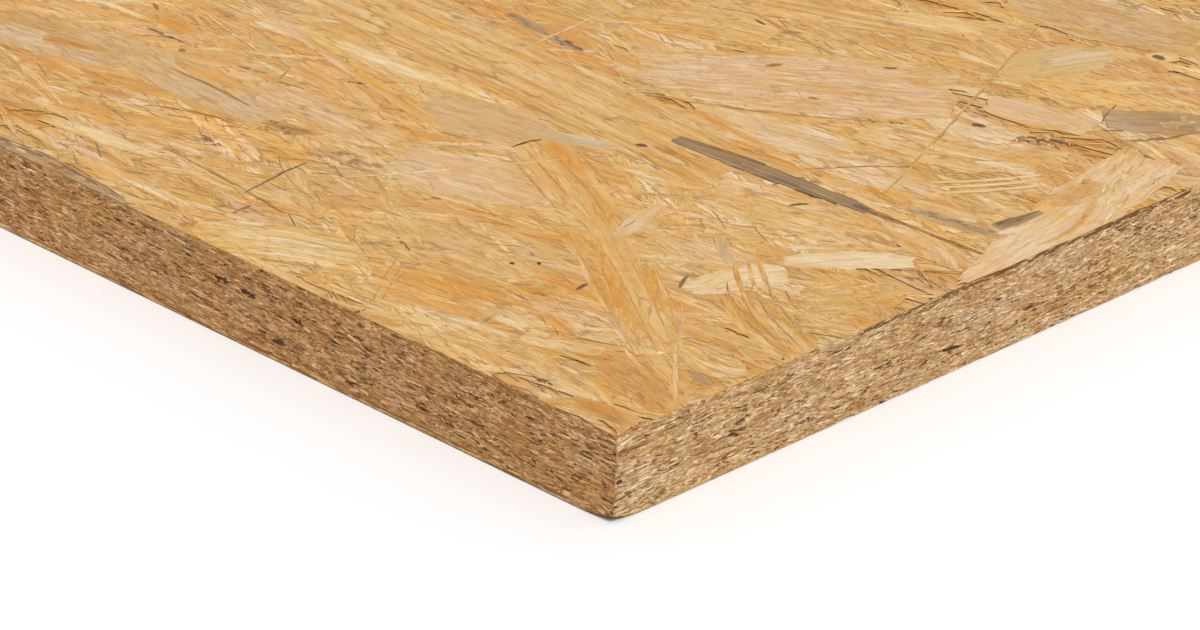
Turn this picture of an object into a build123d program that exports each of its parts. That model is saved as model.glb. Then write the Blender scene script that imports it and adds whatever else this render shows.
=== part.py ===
"""One flat panel of oriented strand board, sawn square on all four edges.

Lengths are in millimetres. X runs along the panel, the way most of the face strands lie, Y runs
across it and Z is up. The panel lies flat and its origin is the middle of the underside.
"""

import os

from build123d import *

# Sheet size
panel_length = 2500.0
panel_width = 1250.0
panel_thickness = 22.0

# Worn lower corner, where the underside meets the sawn long edge and the sawn end
worn_reach = 7.5  # in plan, from the corner along the line that halves it
worn_height = 1.8  # of the corner's upright edge that has gone
worn_radius = 20.0  # of the rounded surface that is left

# How far a cut runs out past the faces that it opens
overrun = 5.0

os.makedirs("parts", exist_ok=True)

# The upright plane that halves the worn corner: its x leads into the panel and its y leads up
worn_corner = (panel_length / 2, -panel_width / 2, 0)
worn_plane = Plane(origin=worn_corner, x_dir=(-1, 1, 0), z_dir=(1, 1, 0))

# The sheet is one pressed piece, and its lower corner has lost its tip to a level rounding
with BuildPart() as osb_panel:
    with BuildSketch(Plane.XY):
        Rectangle(panel_length, panel_width)
    extrude(amount=panel_thickness)
    with BuildSketch(worn_plane):
        with BuildLine():
            worn_arc = RadiusArc((worn_reach, 0), (0, worn_height), worn_radius)
            Polyline(
                worn_arc @ 1,
                (-overrun, worn_height),
                (-overrun, -overrun),
                (worn_reach, -overrun),
                worn_arc @ 0,
            )
        make_face()
    extrude(amount=worn_reach + overrun, both=True, mode=Mode.SUBTRACT)

osb_panel.part.label = "osb_panel"
export_step(osb_panel.part, "parts/osb_panel.step")
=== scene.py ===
"""Dressed model of one panel of oriented strand board.

Lengths are in metres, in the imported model's frame: X runs along the panel, Y across it and Z up.
Both broad faces are mats of flat strands that lie over one another, and the four sawn edges show
the same strands cut through. A strand is a surface of two parameters, s along it and t across it,
and every mat is worked out as whole arrays with one row a strand.
"""

import logging
from dataclasses import dataclass, fields, replace
from enum import Enum
from typing import Sequence

import bpy
import numpy as np
from mathutils import Matrix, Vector
from numpy.typing import NDArray


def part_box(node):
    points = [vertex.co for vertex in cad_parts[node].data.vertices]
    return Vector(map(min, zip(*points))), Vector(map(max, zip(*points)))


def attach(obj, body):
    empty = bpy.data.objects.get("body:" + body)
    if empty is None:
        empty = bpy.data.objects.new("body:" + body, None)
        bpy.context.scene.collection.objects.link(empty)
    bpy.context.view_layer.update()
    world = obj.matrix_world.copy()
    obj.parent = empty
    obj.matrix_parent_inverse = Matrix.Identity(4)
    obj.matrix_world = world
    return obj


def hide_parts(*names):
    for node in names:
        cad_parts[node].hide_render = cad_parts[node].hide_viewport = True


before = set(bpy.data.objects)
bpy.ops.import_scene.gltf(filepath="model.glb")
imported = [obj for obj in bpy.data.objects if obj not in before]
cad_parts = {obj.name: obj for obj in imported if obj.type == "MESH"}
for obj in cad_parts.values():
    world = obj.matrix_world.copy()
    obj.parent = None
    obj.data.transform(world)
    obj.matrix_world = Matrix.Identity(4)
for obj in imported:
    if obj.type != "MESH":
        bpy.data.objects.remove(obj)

log = logging.getLogger("strand_panel")

Array = NDArray[np.float64]
Rng = np.random.Generator
Pair = tuple[float, float]
Triple = tuple[float, float, float]
Patch = tuple[float, float, float, float]
Spine = tuple[float, float, float, float, float, float]
Grid = tuple[int, int]
Socket = bpy.types.NodeSocket
Value = Socket | float | Sequence[float]

NODE = "osb_panel"
BODY = "root"
MM = 0.001
# Half way up, for a noise or a share that runs from nought to one
MIDDLE = 0.5
# Degrees that a surface may turn at an edge and still look smooth
SHARP_TURN = 32.0
# How a screen's values stand to linear light
SCREEN_FULL = 255
SCREEN_KNEE = 0.04045
SCREEN_SLOPE = 12.92
SCREEN_LIFT = 0.055
SCREEN_POWER = 2.4


def to_linear(colour: Array) -> Array:
    """Turn screen colours into linear light.

    Args:
        colour: Red, green and blue out of 255, in the last axis.

    Returns:
        The same colours as linear light from 0 to 1.
    """
    share = np.asarray(colour, dtype=float) / SCREEN_FULL
    bright = ((share + SCREEN_LIFT) / (1 + SCREEN_LIFT)) ** SCREEN_POWER
    return np.where(share <= SCREEN_KNEE, share / SCREEN_SLOPE, bright)


class Tone(Enum):
    """Colours of the wood, and the painted shade of its holes, as red, green and blue out of 255."""

    GOLD = (219, 176, 109)
    PALE_GOLD = (224, 184, 122)
    PINK_BEIGE = (219, 179, 129)
    TAN = (214, 164, 98)
    ORANGE = (215, 158, 84)
    CREAM = (229, 197, 142)
    GREY = (184, 152, 112)
    GREY_BROWN = (138, 112, 80)
    DULL_PALE = (174, 143, 103)
    DULL_GREY = (146, 118, 84)
    DULL_BROWN = (110, 84, 56)
    GRAIN = (164, 118, 62)
    AMBER = (206, 152, 84)
    DUSKY = (206, 167, 113)
    DEEP_GOLD = (218, 163, 86)
    RED_BROWN = (158, 107, 56)
    UMBER = (102, 68, 36)
    # Painted shade: the dark inside holes, pits and gaps, laid on the surface as a colour
    HOLE_SHADE = (68, 42, 20)
    PALE_PINK = (224, 188, 140)
    WHITE_WOOD = (229, 203, 161)
    YELLOW = (211, 176, 118)
    DEEP_ORANGE = (202, 143, 76)
    PALE_GREY = (198, 173, 135)
    END_TAN = (221, 183, 130)
    END_PALE = (232, 200, 152)
    END_BROWN = (192, 145, 92)
    LONG_TAN = (219, 166, 104)
    LONG_PALE = (233, 188, 130)
    LONG_BROWN = (188, 131, 74)

    @property
    def linear(self) -> Array:
        """The tone as linear light."""
        return to_linear(np.array(self.value))


@dataclass(frozen=True)
class ToneMix:
    """The tones that a mat of strands is drawn from."""

    tones: tuple[Tone, ...]
    shares: tuple[float, ...]
    spread: float = 0.03
    hue: float = 0.02

    def draw(self, rng: Rng, count: int) -> Array:
        """Draw one colour for each strand.

        Args:
            rng: Source of the random draws.
            count: Number of strands.

        Returns:
            Linear colours, one row a strand, each a little lighter or darker than its tone.
        """
        table = np.stack([tone.linear for tone in self.tones])
        shares = np.array(self.shares) / np.sum(self.shares)
        picked = table[rng.choice(len(self.tones), size=count, p=shares)]
        light = np.exp(rng.normal(0, self.spread, (count, 1)))
        return picked * light * (1 + rng.normal(0, self.hue, (count, 3)))


FACE_MIX = ToneMix(
    (Tone.GOLD, Tone.PALE_GOLD, Tone.PINK_BEIGE, Tone.TAN, Tone.ORANGE, Tone.CREAM),
    (0.36, 0.26, 0.09, 0.14, 0.09, 0.06),
    0.045,
)
CHIP_MIX = ToneMix(
    (Tone.GOLD, Tone.PALE_GOLD, Tone.TAN, Tone.ORANGE, Tone.CREAM, Tone.DUSKY),
    (0.36, 0.26, 0.16, 0.11, 0.04, 0.07),
    0.05,
)
WISP_MIX = ToneMix(
    (Tone.PALE_GOLD, Tone.GOLD, Tone.CREAM, Tone.ORANGE, Tone.DEEP_ORANGE, Tone.GRAIN),
    (0.28, 0.20, 0.13, 0.17, 0.14, 0.08),
    0.06,
)
LINE_MIX = ToneMix((Tone.ORANGE, Tone.CREAM, Tone.RED_BROWN, Tone.GREY_BROWN), (0.45, 0.15, 0.33, 0.07))
HAIR_MIX = ToneMix((Tone.RED_BROWN, Tone.GRAIN, Tone.DEEP_ORANGE, Tone.CREAM), (0.35, 0.3, 0.25, 0.1), 0.1)
END_MIX = ToneMix((Tone.END_TAN, Tone.END_PALE, Tone.END_BROWN), (0.56, 0.24, 0.20), 0.07)
LONG_MIX = ToneMix((Tone.LONG_TAN, Tone.LONG_PALE, Tone.LONG_BROWN), (0.56, 0.24, 0.20), 0.07)
# Dark tones here are painted shade of small pits in a sawn edge, pale tones are light wood
PIT_SHADE_AND_FLECK_MIX = ToneMix(
    (Tone.UMBER, Tone.HOLE_SHADE, Tone.RED_BROWN, Tone.END_PALE, Tone.WHITE_WOOD),
    (0.34, 0.16, 0.20, 0.18, 0.12),
    0.15,
)
# Painted shade of the gaps between cut strands
GAP_SHADE_MIX = ToneMix((Tone.UMBER, Tone.HOLE_SHADE, Tone.RED_BROWN), (0.45, 0.37, 0.18), 0.15)
VEIN_MIX = ToneMix((Tone.END_PALE, Tone.END_TAN, Tone.WHITE_WOOD), (0.5, 0.3, 0.2), 0.1)


@dataclass(frozen=True)
class PhotoView:
    """The photograph's camera, fitted to the panel's edges, with its image in pixels."""

    image: tuple[int, int] = (1200, 630)
    azimuth: float = 42.575
    elevation: float = 25.471
    roll: float = 2.781
    focal: float = 5137.7
    distance: float = 1.1338
    corner_pixel: Pair = (617.26, 435.95)
    corner: Triple = (1.25, -0.625, 0.022)
    sensor: float = 36.0
    clip: Pair = (0.01, 500.0)

    def axes(self) -> Array:
        """Work out which way the camera faces.

        Returns:
            Rows that point to the right of the image, up it, and back from it to the viewer.
        """
        turn, lift, lean = np.radians((self.azimuth, self.elevation, self.roll))
        back = np.array((np.sin(turn) * np.cos(lift), -np.cos(turn) * np.cos(lift), np.sin(lift)))
        level = np.array((np.cos(turn), np.sin(turn), 0.0))
        upright = np.cross(back, level)
        right = np.cos(lean) * level + np.sin(lean) * upright
        above = np.cos(lean) * upright - np.sin(lean) * level
        return np.stack((right, above, back))

    def rays(self, pixels: Array) -> Array:
        """Find the way that the camera looks through some pixels.

        Args:
            pixels: Pixel columns and rows, in the last axis.

        Returns:
            Directions away from the camera, with a depth of one.
        """
        right, above, back = self.axes()
        column = (pixels[..., :1] - self.image[0] / 2) / self.focal
        row = (pixels[..., 1:] - self.image[1] / 2) / self.focal
        return column * right - row * above - back

    def place(self) -> Array:
        """Stand back from the near top corner along the ray through its pixel."""
        ray = self.rays(np.array(self.corner_pixel))
        return np.array(self.corner) - self.distance * ray / np.linalg.norm(ray)

    def on_plane(self, pixels: Array, origin: Array, out: Array) -> Array:
        """Carry pixels along their rays to a plane.

        Args:
            pixels: Pixel columns and rows, in the last axis.
            origin: A point of the plane.
            out: The plane's normal.

        Returns:
            Points of the plane, one for each pixel.
        """
        rays = self.rays(np.asarray(pixels, dtype=float))
        place = self.place()
        run = ((origin - place) @ out) / (rays @ out)
        return place + rays * run[..., None]

    def camera(self) -> bpy.types.Object:
        """Add the camera and make it the scene's own.

        Returns:
            The camera object.
        """
        data = bpy.data.cameras.new("photo_camera")
        data.sensor_fit = "HORIZONTAL"
        data.sensor_width = self.sensor
        data.lens = self.focal * self.sensor / self.image[0]
        data.clip_start, data.clip_end = self.clip
        camera = bpy.data.objects.new("photo_camera", data)
        pose = np.eye(4)
        pose[:3, :3] = self.axes().T
        pose[:3, 3] = self.place()
        camera.matrix_world = Matrix(pose.tolist())
        bpy.context.scene.collection.objects.link(camera)
        bpy.context.scene.camera = camera
        return camera


@dataclass(frozen=True)
class Outline:
    """Where a face stops: a low and a high limit along each of its two axes.

    Each limit is a table over the other axis, so that it can follow the bites along a sawn edge.
    """

    along: Array
    low_across: Array
    high_across: Array
    across: Array
    low_along: Array
    high_along: Array

    def hold(self, along: Array, across: Array) -> tuple[Array, Array]:
        """Draw points that lie past a limit back onto it.

        Args:
            along: Places along the face.
            across: Places across it.

        Returns:
            The places, held between the limits that stand there.
        """
        low = np.interp(along, self.along, self.low_across)
        high = np.interp(along, self.along, self.high_across)
        across = np.clip(across, low, high)
        low = np.interp(across, self.across, self.low_along)
        high = np.interp(across, self.across, self.high_along)
        return np.clip(along, low, high), across


@dataclass(frozen=True)
class Face:
    """One of the panel's six flat faces, with axes of its own that make a right hand with out."""

    name: str
    origin: Triple
    along: Triple
    across: Triple
    half_along: float
    half_across: float

    @property
    def out(self) -> Array:
        """The way the face looks."""
        return np.cross(self.along, self.across)

    def lay(self, along: Array, across: Array, depth: Array) -> Array:
        """Place points by the face's own axes and their depth below it.

        Args:
            along: Places along the face.
            across: Places across it.
            depth: Depths below it.

        Returns:
            Points in the panel's frame.
        """
        base = np.array(self.origin)
        level = along[..., None] * np.array(self.along) + across[..., None] * np.array(self.across)
        return base + level - depth[..., None] * self.out

    def read(self, points: Array) -> Array:
        """Give points by the face's own two axes.

        Args:
            points: Points in the panel's frame.

        Returns:
            Their places along and across the face.
        """
        arm = points - np.array(self.origin)
        return np.stack((arm @ np.array(self.along), arm @ np.array(self.across)), axis=-1)


@dataclass(frozen=True)
class Panel:
    """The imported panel's box, and the lower corner that has lost its tip."""

    low: Triple
    high: Triple
    worn_reach: float = 7.5 * MM
    worn_height: float = 1.8 * MM
    worn_radius: float = 20.0 * MM
    lip: float = 0.12 * MM
    bite_pitch: float = 2.2 * MM
    bite_depth: float = 0.55 * MM
    bite_share: float = 0.22
    fuzz: float = 0.08 * MM
    stations: int = 4001

    @classmethod
    def packed(cls) -> "Panel":
        """Read the panel's box from the frame."""
        low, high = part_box(NODE)
        return cls(tuple(low), tuple(high))

    def worn_floor(self, x: Array, y: Array) -> Array:
        """Give the height of the underside.

        It is nought, and over the worn corner it is a circular arc of the distance inwards along
        the line that halves the corner: from the worn height at the tip down to nought.

        Args:
            x: Places along the panel.
            y: Places across it.

        Returns:
            Heights of the lowest wood.
        """
        run = ((self.high[0] - x) + (y - self.low[1])) / np.sqrt(2)
        chord = np.hypot(self.worn_reach, self.worn_height)
        arm = np.sqrt(self.worn_radius**2 - (chord / 2) ** 2)
        centre_run = self.worn_reach / 2 + arm * self.worn_height / chord
        centre_height = self.worn_height / 2 + arm * self.worn_reach / chord
        drop = self.worn_radius**2 - (np.minimum(run, self.worn_reach) - centre_run) ** 2
        arc = centre_height - np.sqrt(np.maximum(drop, 0))
        return np.where(run < self.worn_reach, np.maximum(arc, 0), 0.0)

    def faces(self) -> dict[str, Face]:
        """Name the six faces.

        Returns:
            The faces by name.
        """
        (x0, y0, z0), (x1, y1, z1) = self.low, self.high
        x, y, z = (x0 + x1) / 2, (y0 + y1) / 2, (z0 + z1) / 2
        length, width, height = (x1 - x0) / 2, (y1 - y0) / 2, (z1 - z0) / 2
        made = (
            Face("top", (x, y, z1), (1, 0, 0), (0, 1, 0), length, width),
            Face("underside", (x, y, z0), (1, 0, 0), (0, -1, 0), length, width),
            Face("front_edge", (x, y0, z), (1, 0, 0), (0, 0, 1), length, height),
            Face("back_edge", (x, y1, z), (-1, 0, 0), (0, 0, 1), length, height),
            Face("right_end", (x1, y, z), (0, 1, 0), (0, 0, 1), width, height),
            Face("left_end", (x0, y, z), (0, -1, 0), (0, 0, 1), width, height),
        )
        return {face.name: face for face in made}

    def bites(self, rng: Rng, half: float) -> tuple[Array, Array]:
        """Make the small bites that the saw left along one side of a broad face.

        Most of the side is whole. A bite is a random depth, taken where a second draw says so.

        Args:
            rng: Source of the random draws.
            half: Half of the side's length.

        Returns:
            Stations along the side, and how far in the wood starts at each.
        """
        count = int(2 * half / self.bite_pitch) + 1
        stations = np.linspace(-half, half, count)
        torn = rng.random(count) < self.bite_share
        fuzz = rng.random(count) * self.fuzz
        return stations, fuzz + torn * rng.random(count) ** 2 * self.bite_depth

    def broad_outline(self, face: Face, rng: Rng) -> Outline:
        """Give the limits of a broad face: the four saw lines with their bites.

        Args:
            face: The top or the underside.
            rng: Source of the random draws.

        Returns:
            The face's limits.
        """
        along, front = self.bites(rng, face.half_along)
        back = self.bites(rng, face.half_along)[1]
        across, left = self.bites(rng, face.half_across)
        right = self.bites(rng, face.half_across)[1]
        return Outline(
            along,
            front - face.half_across,
            face.half_across - back,
            across,
            left - face.half_along,
            face.half_along - right,
        )

    def edge_outline(self, face: Face) -> Outline:
        """Give the limits of a sawn edge, which stops at the worn corner and just under the top.

        Args:
            face: One of the four edges.

        Returns:
            The edge's limits.
        """
        along = np.linspace(-face.half_along, face.half_along, self.stations)
        foot = face.lay(along, np.full_like(along, -face.half_across), np.zeros_like(along))
        floor = self.worn_floor(foot[:, 0], foot[:, 1])
        across = np.array((-face.half_across, face.half_across))
        ends = np.full(2, face.half_along)
        return Outline(
            along,
            floor - face.half_across,
            np.full_like(along, face.half_across - self.lip),
            across,
            -ends,
            ends,
        )


@dataclass
class Strands:
    """Flat strands on one face, as arrays with one row a strand.

    The spine is the parabola through start, middle and end, and the half width is the parabola
    through its three values. Depth is how far the strand's crown lies below the face.
    """

    start: Array
    middle: Array
    end: Array
    half_width: Array
    depth: Array
    crown: Array
    tear: Array
    slant: Array
    wobble: Array
    tone: Array
    seed: Array
    rib: Array
    pore: Array
    line: Array
    end_line: Array
    crisp: Array

    def __len__(self) -> int:
        """Count the strands."""
        return len(self.depth)

    def pick(self, chosen: NDArray) -> "Strands":
        """Keep some of the strands, by mask or by order."""
        return Strands(*(getattr(self, item.name)[chosen] for item in fields(self)))

    @staticmethod
    def join(batches: Sequence["Strands"]) -> "Strands":
        """Put several batches one after another."""
        names = [item.name for item in fields(Strands)]
        return Strands(*(np.concatenate([getattr(b, name) for b in batches]) for name in names))

    def inside(self, patch: Patch) -> NDArray[np.bool_]:
        """Tell which strands have their middle in a patch."""
        a, b = self.middle.T
        return (a >= patch[0]) & (a < patch[1]) & (b >= patch[2]) & (b < patch[3])

    def crossings(self, swell: float = 1.2, margin: float = 0.1 * MM) -> NDArray[np.int64]:
        """Find the strands that lie over one another.

        Each strand is taken as the box round its spine. Two boxes lie apart when their shadows on
        the direction of one of their sides do. The strands are sorted along the face, and each is
        compared with the next one, the next but one and so on.

        Args:
            swell: How many times its own half width a strand may reach.
            margin: Room left beside it.

        Returns:
            Two strand numbers a row, the lower number first.
        """
        arm = (self.end - self.start) / 2
        centre = (self.end + self.start) / 2
        half = np.linalg.norm(arm, axis=1)
        way = arm / half[:, None]
        side = np.stack((-way[:, 1], way[:, 0]), axis=1)
        bow = np.linalg.norm(self.middle - centre, axis=1)
        wide = swell * self.half_width.max(axis=1) + bow + margin
        reach = half * np.abs(way[:, 0]) + wide * np.abs(side[:, 0])
        order = np.argsort(centre[:, 0])
        found = [np.zeros((0, 2), dtype=np.int64)]
        for skip in range(1, len(self)):
            one, other = order[:-skip], order[skip:]
            gap = centre[other, 0] - centre[one, 0]
            if gap.min() > 2 * reach.max():
                break
            near = gap < reach[one] + reach[other]
            one, other = one[near], other[near]
            between = centre[other] - centre[one]
            meet = np.ones(len(one), dtype=bool)
            for this, that in ((one, other), (other, one)):
                for axis, own in ((way[this], half[this]), (side[this], wide[this])):
                    shadow = np.abs(np.sum(way[that] * axis, axis=1)) * half[that]
                    shadow += np.abs(np.sum(side[that] * axis, axis=1)) * wide[that]
                    meet &= np.abs(np.sum(between * axis, axis=1)) < own + shadow
            found.append(np.stack((one, other), axis=1)[meet])
        return np.sort(np.concatenate(found), axis=1)

    def restacked(self, low: float, high: float, steps: int = 0) -> "Strands":
        """Share out the depths afresh, so that strands which cross stand at least a level apart.

        A strand's level is one more than the highest level among the deeper strands that it
        crosses, and no less than the step that its old depth falls on.

        Args:
            low: Least depth, for the highest level.
            high: Greatest depth, for the lowest level.
            steps: How many steps the old depths are divided into.

        Returns:
            The strands, flat, with the same ones on top.
        """
        order = np.argsort(-self.depth, kind="stable")
        under, over = self.pick(order).crossings().T
        height = self.depth.max() - self.depth[order]
        tallest = max(height.max(), MM * MM)
        level = np.round(steps * height / tallest).astype(int)
        for _ in range(len(self)):
            raised = level.copy()
            np.maximum.at(raised, over, level[under] + 1)
            if np.array_equal(raised, level):
                break
            level = raised
        depth = np.empty(len(self))
        depth[order] = high - (high - low) * level / max(1, level.max())
        log.info("%d strands on %d levels", len(self), level.max() + 1)
        return replace(self, depth=depth, crown=np.zeros(len(self)))


Batch = tuple[Strands, Grid]


@dataclass(frozen=True)
class StrandKind:
    """One kind of strand: lengths in millimetres, angles in degrees.

    Cover is how many times over the strands of this kind would cover their patch, and grid is how
    many divisions one has along it and across it. What ends in range is a draw between two shares.
    """

    length: Pair
    width: Pair
    depth: Pair
    cover: float
    angle: float = 8.0
    spread: float = 20.0
    crown: float = 0.05
    tear: float = 0.02
    bow: float = 0.03
    wobble: float = 0.05
    taper: Pair = (0.55, 1.05)
    lined: float = 0.25
    crisp: float = 0.0
    slender: float = 3.5
    clump: int = 1
    clump_reach: Pair = (4.0, 0.9)
    grid: Grid = (1, 1)
    most_turn: float = 1.6
    slant: float = 0.35
    line_range: Pair = (0.3, 1.0)
    end_range: Pair = (0.2, 0.8)
    crown_range: Pair = (0.4, 1.4)
    tear_range: Pair = (0.2, 1.8)
    wobble_range: Pair = (0.3, 1.5)
    crisp_range: Pair = (0.4, 1.6)
    rib_power: float = 2.5
    least_pore: float = 0.15

    def scatter(self, patch: Patch, mix: ToneMix, rng: Rng) -> Strands:
        """Strew strands of this kind over a patch of a face.

        Args:
            patch: Low and high limit along the face, then across it.
            mix: Tones to draw from.
            rng: Source of the random draws.

        Returns:
            The strands.
        """
        low_a, high_a, low_b, high_b = patch
        mean = np.mean(self.length) * np.mean(self.width) * MM * MM
        count = int(self.cover * (high_a - low_a) * (high_b - low_b) / mean)
        middle = np.stack((rng.uniform(low_a, high_a, count), rng.uniform(low_b, high_b, count)), 1)
        if self.clump > 1:
            nest = middle[rng.integers(0, max(1, count // self.clump), count)]
            middle = nest + rng.normal(0, MM, (count, 2)) * np.array(self.clump_reach)
        half_width = np.exp(rng.uniform(*np.log(self.width), count)) * MM / 2
        half = np.maximum(rng.uniform(*self.length, count) * MM / 2, self.slender * half_width)[:, None]
        lean = np.clip(rng.normal(0, 1, count), -self.most_turn, self.most_turn)
        turn = np.radians(self.angle + self.spread * lean)
        way = np.stack((np.cos(turn), np.sin(turn)), 1)
        side = np.stack((-way[:, 1], way[:, 0]), 1)
        bow = rng.normal(0, self.bow, count)[:, None] * half * side
        taper = rng.uniform(*self.taper, (count, 3))
        taper[:, 1] = 1.0
        slant = rng.normal(0, self.slant, count) * half_width / half[:, 0]
        lined = (rng.random((count, 2)) < self.lined) * rng.uniform(*self.line_range, (count, 2))
        return Strands(
            start=middle - half * way,
            middle=middle + bow,
            end=middle + half * way,
            half_width=half_width[:, None] * taper,
            depth=rng.uniform(*self.depth, count) * MM,
            crown=rng.uniform(*self.crown_range, count) * self.crown * MM,
            tear=rng.uniform(*self.tear_range, count) * self.tear,
            slant=slant,
            wobble=rng.uniform(*self.wobble_range, count) * self.wobble,
            tone=mix.draw(rng, count),
            seed=rng.random(count),
            rib=rng.random(count) ** self.rib_power,
            pore=self.least_pore + (1 - self.least_pore) * rng.random(count),
            line=lined,
            end_line=(rng.random(count) < self.lined) * rng.uniform(*self.end_range, count),
            crisp=self.crisp * rng.uniform(*self.crisp_range, count),
        )


@dataclass(frozen=True)
class Laid:
    """A strand that the photograph shows, by the pixels that its spine runs through.

    Spine is the column and row of three pixels: at the start, the middle and the end. Across is the
    strand's size there in pixels, square to the spine, and layer is how high it lies among the
    others. Line and stop are how dark the seams along its two sides and across its ends are: dark
    glue lines with painted shade. A mark of several bits is broken into that many slivers, and thin
    is how wide they are.
    """

    spine: Spine
    across: Triple
    tone: Tone
    layer: int
    crisp: float
    rib: float = 0.2
    pore: float = 0.4
    line: Pair = (0.0, 0.0)
    stop: float = 0.0
    tear: float = 0.10
    bits: int = 1
    thin: float = 1.0


@dataclass(frozen=True)
class LaidStrands:
    """Strands laid on one face, through the photograph's camera.

    What starts with bit belongs to the slivers of a broken mark, as shares of the whole mark. One
    sliver reaches no further than bit_reach, and all of them together no further than bit_reaches.
    """

    view: PhotoView
    face: Face
    items: tuple[Laid, ...]
    step: float = 0.0065 * MM
    layers: int = 8
    crown: float = 0.003 * MM
    wobble: float = 0.10
    bit_wobble: float = 0.15
    bit_room: float = 0.9
    bit_reach: float = 0.4
    bit_reaches: float = 2.6
    bit_length: Pair = (0.35, 1.0)
    bit_width: Pair = (0.15, 0.45)
    bit_shift: float = 0.7
    bit_lift: float = 0.6
    bit_light: float = 0.15

    def broken(self) -> NDArray[np.bool_]:
        """Tell which of the strands are bits of a broken mark."""
        bits = np.array([item.bits for item in self.items])
        return np.repeat(bits > 1, bits)

    def strands(self, rng: Rng) -> Strands:
        """Carry the pixels to the face and turn them into strands.

        Half the width is half of what lies between the two pixels beside the spine, measured square
        to the spine on the face. A bit of a broken mark takes a random stretch of its spine, moved
        sideways, and a share of its size across.

        Args:
            rng: Source of the random draws.

        Returns:
            The strands.
        """
        bits = np.array([item.bits for item in self.items])
        owner = np.repeat(np.arange(len(self.items)), bits)
        items = [self.items[k] for k in owner]
        count = len(items)

        def column(name: str) -> Array:
            """Give one value of every strand."""
            return np.array([getattr(item, name) for item in items], dtype=float)

        broken = (bits[owner] > 1).astype(float)
        order = np.arange(count) - np.repeat(np.cumsum(bits) - bits, bits)
        centre = 2 * self.bit_room * (order + rng.random(count)) / bits[owner] - self.bit_room
        centre = broken * centre
        short = np.minimum(self.bit_reach, self.bit_reaches / bits[owner])
        short = short * rng.uniform(*self.bit_length, count)
        reach = 1 - broken * (1 - short)
        q = np.clip(centre[:, None] + reach[:, None] * np.array((-1, 0, 1)), -1, 1)
        share = 1 - broken * (1 - column("thin") * rng.uniform(*self.bit_width, count))
        shift = broken * rng.uniform(-self.bit_shift, self.bit_shift, count)
        lobes = np.stack((q * (q - 1) / 2, 1 - q * q, q * (q + 1) / 2), axis=-1)
        path = lobes @ column("spine").reshape(-1, 3, 2)
        across = np.einsum("nqk,nk->nq", lobes, column("across"))
        way = path[:, 2] - path[:, 0]
        way /= np.linalg.norm(way, axis=1, keepdims=True)
        side = np.stack((-way[:, 1], way[:, 0]), axis=1)[:, None, :]
        path = path + side * (across * shift[:, None])[..., None] / 2
        side = side * (across * share[:, None])[..., None] / 2
        origin = np.array(self.face.origin)
        spine, left, right = (
            self.face.read(self.view.on_plane(pixels, origin, self.face.out))
            for pixels in (path, path - side, path + side)
        )
        run = spine[:, 2] - spine[:, 0]
        run /= np.linalg.norm(run, axis=1, keepdims=True)
        square = np.stack((-run[:, 1], run[:, 0]), axis=1)[:, None, :]
        half_width = np.abs(np.sum((right - left) * square, axis=-1)) / 2
        layer = column("layer") + broken * rng.uniform(0, self.bit_lift, count)
        tone = np.stack([item.tone.linear for item in items])
        tone = tone * np.exp(broken * rng.normal(0, self.bit_light, count))[:, None]
        return Strands(
            start=spine[:, 0],
            middle=spine[:, 1],
            end=spine[:, 2],
            half_width=half_width,
            depth=(self.layers - layer) * self.step,
            crown=np.full(count, self.crown),
            tear=column("tear"),
            slant=np.zeros(count),
            wobble=self.wobble + self.bit_wobble * broken,
            tone=tone,
            seed=rng.random(count),
            rib=column("rib"),
            pore=column("pore"),
            line=column("line")[:, ::-1],
            end_line=column("stop"),
            crisp=column("crisp"),
        )


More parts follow.
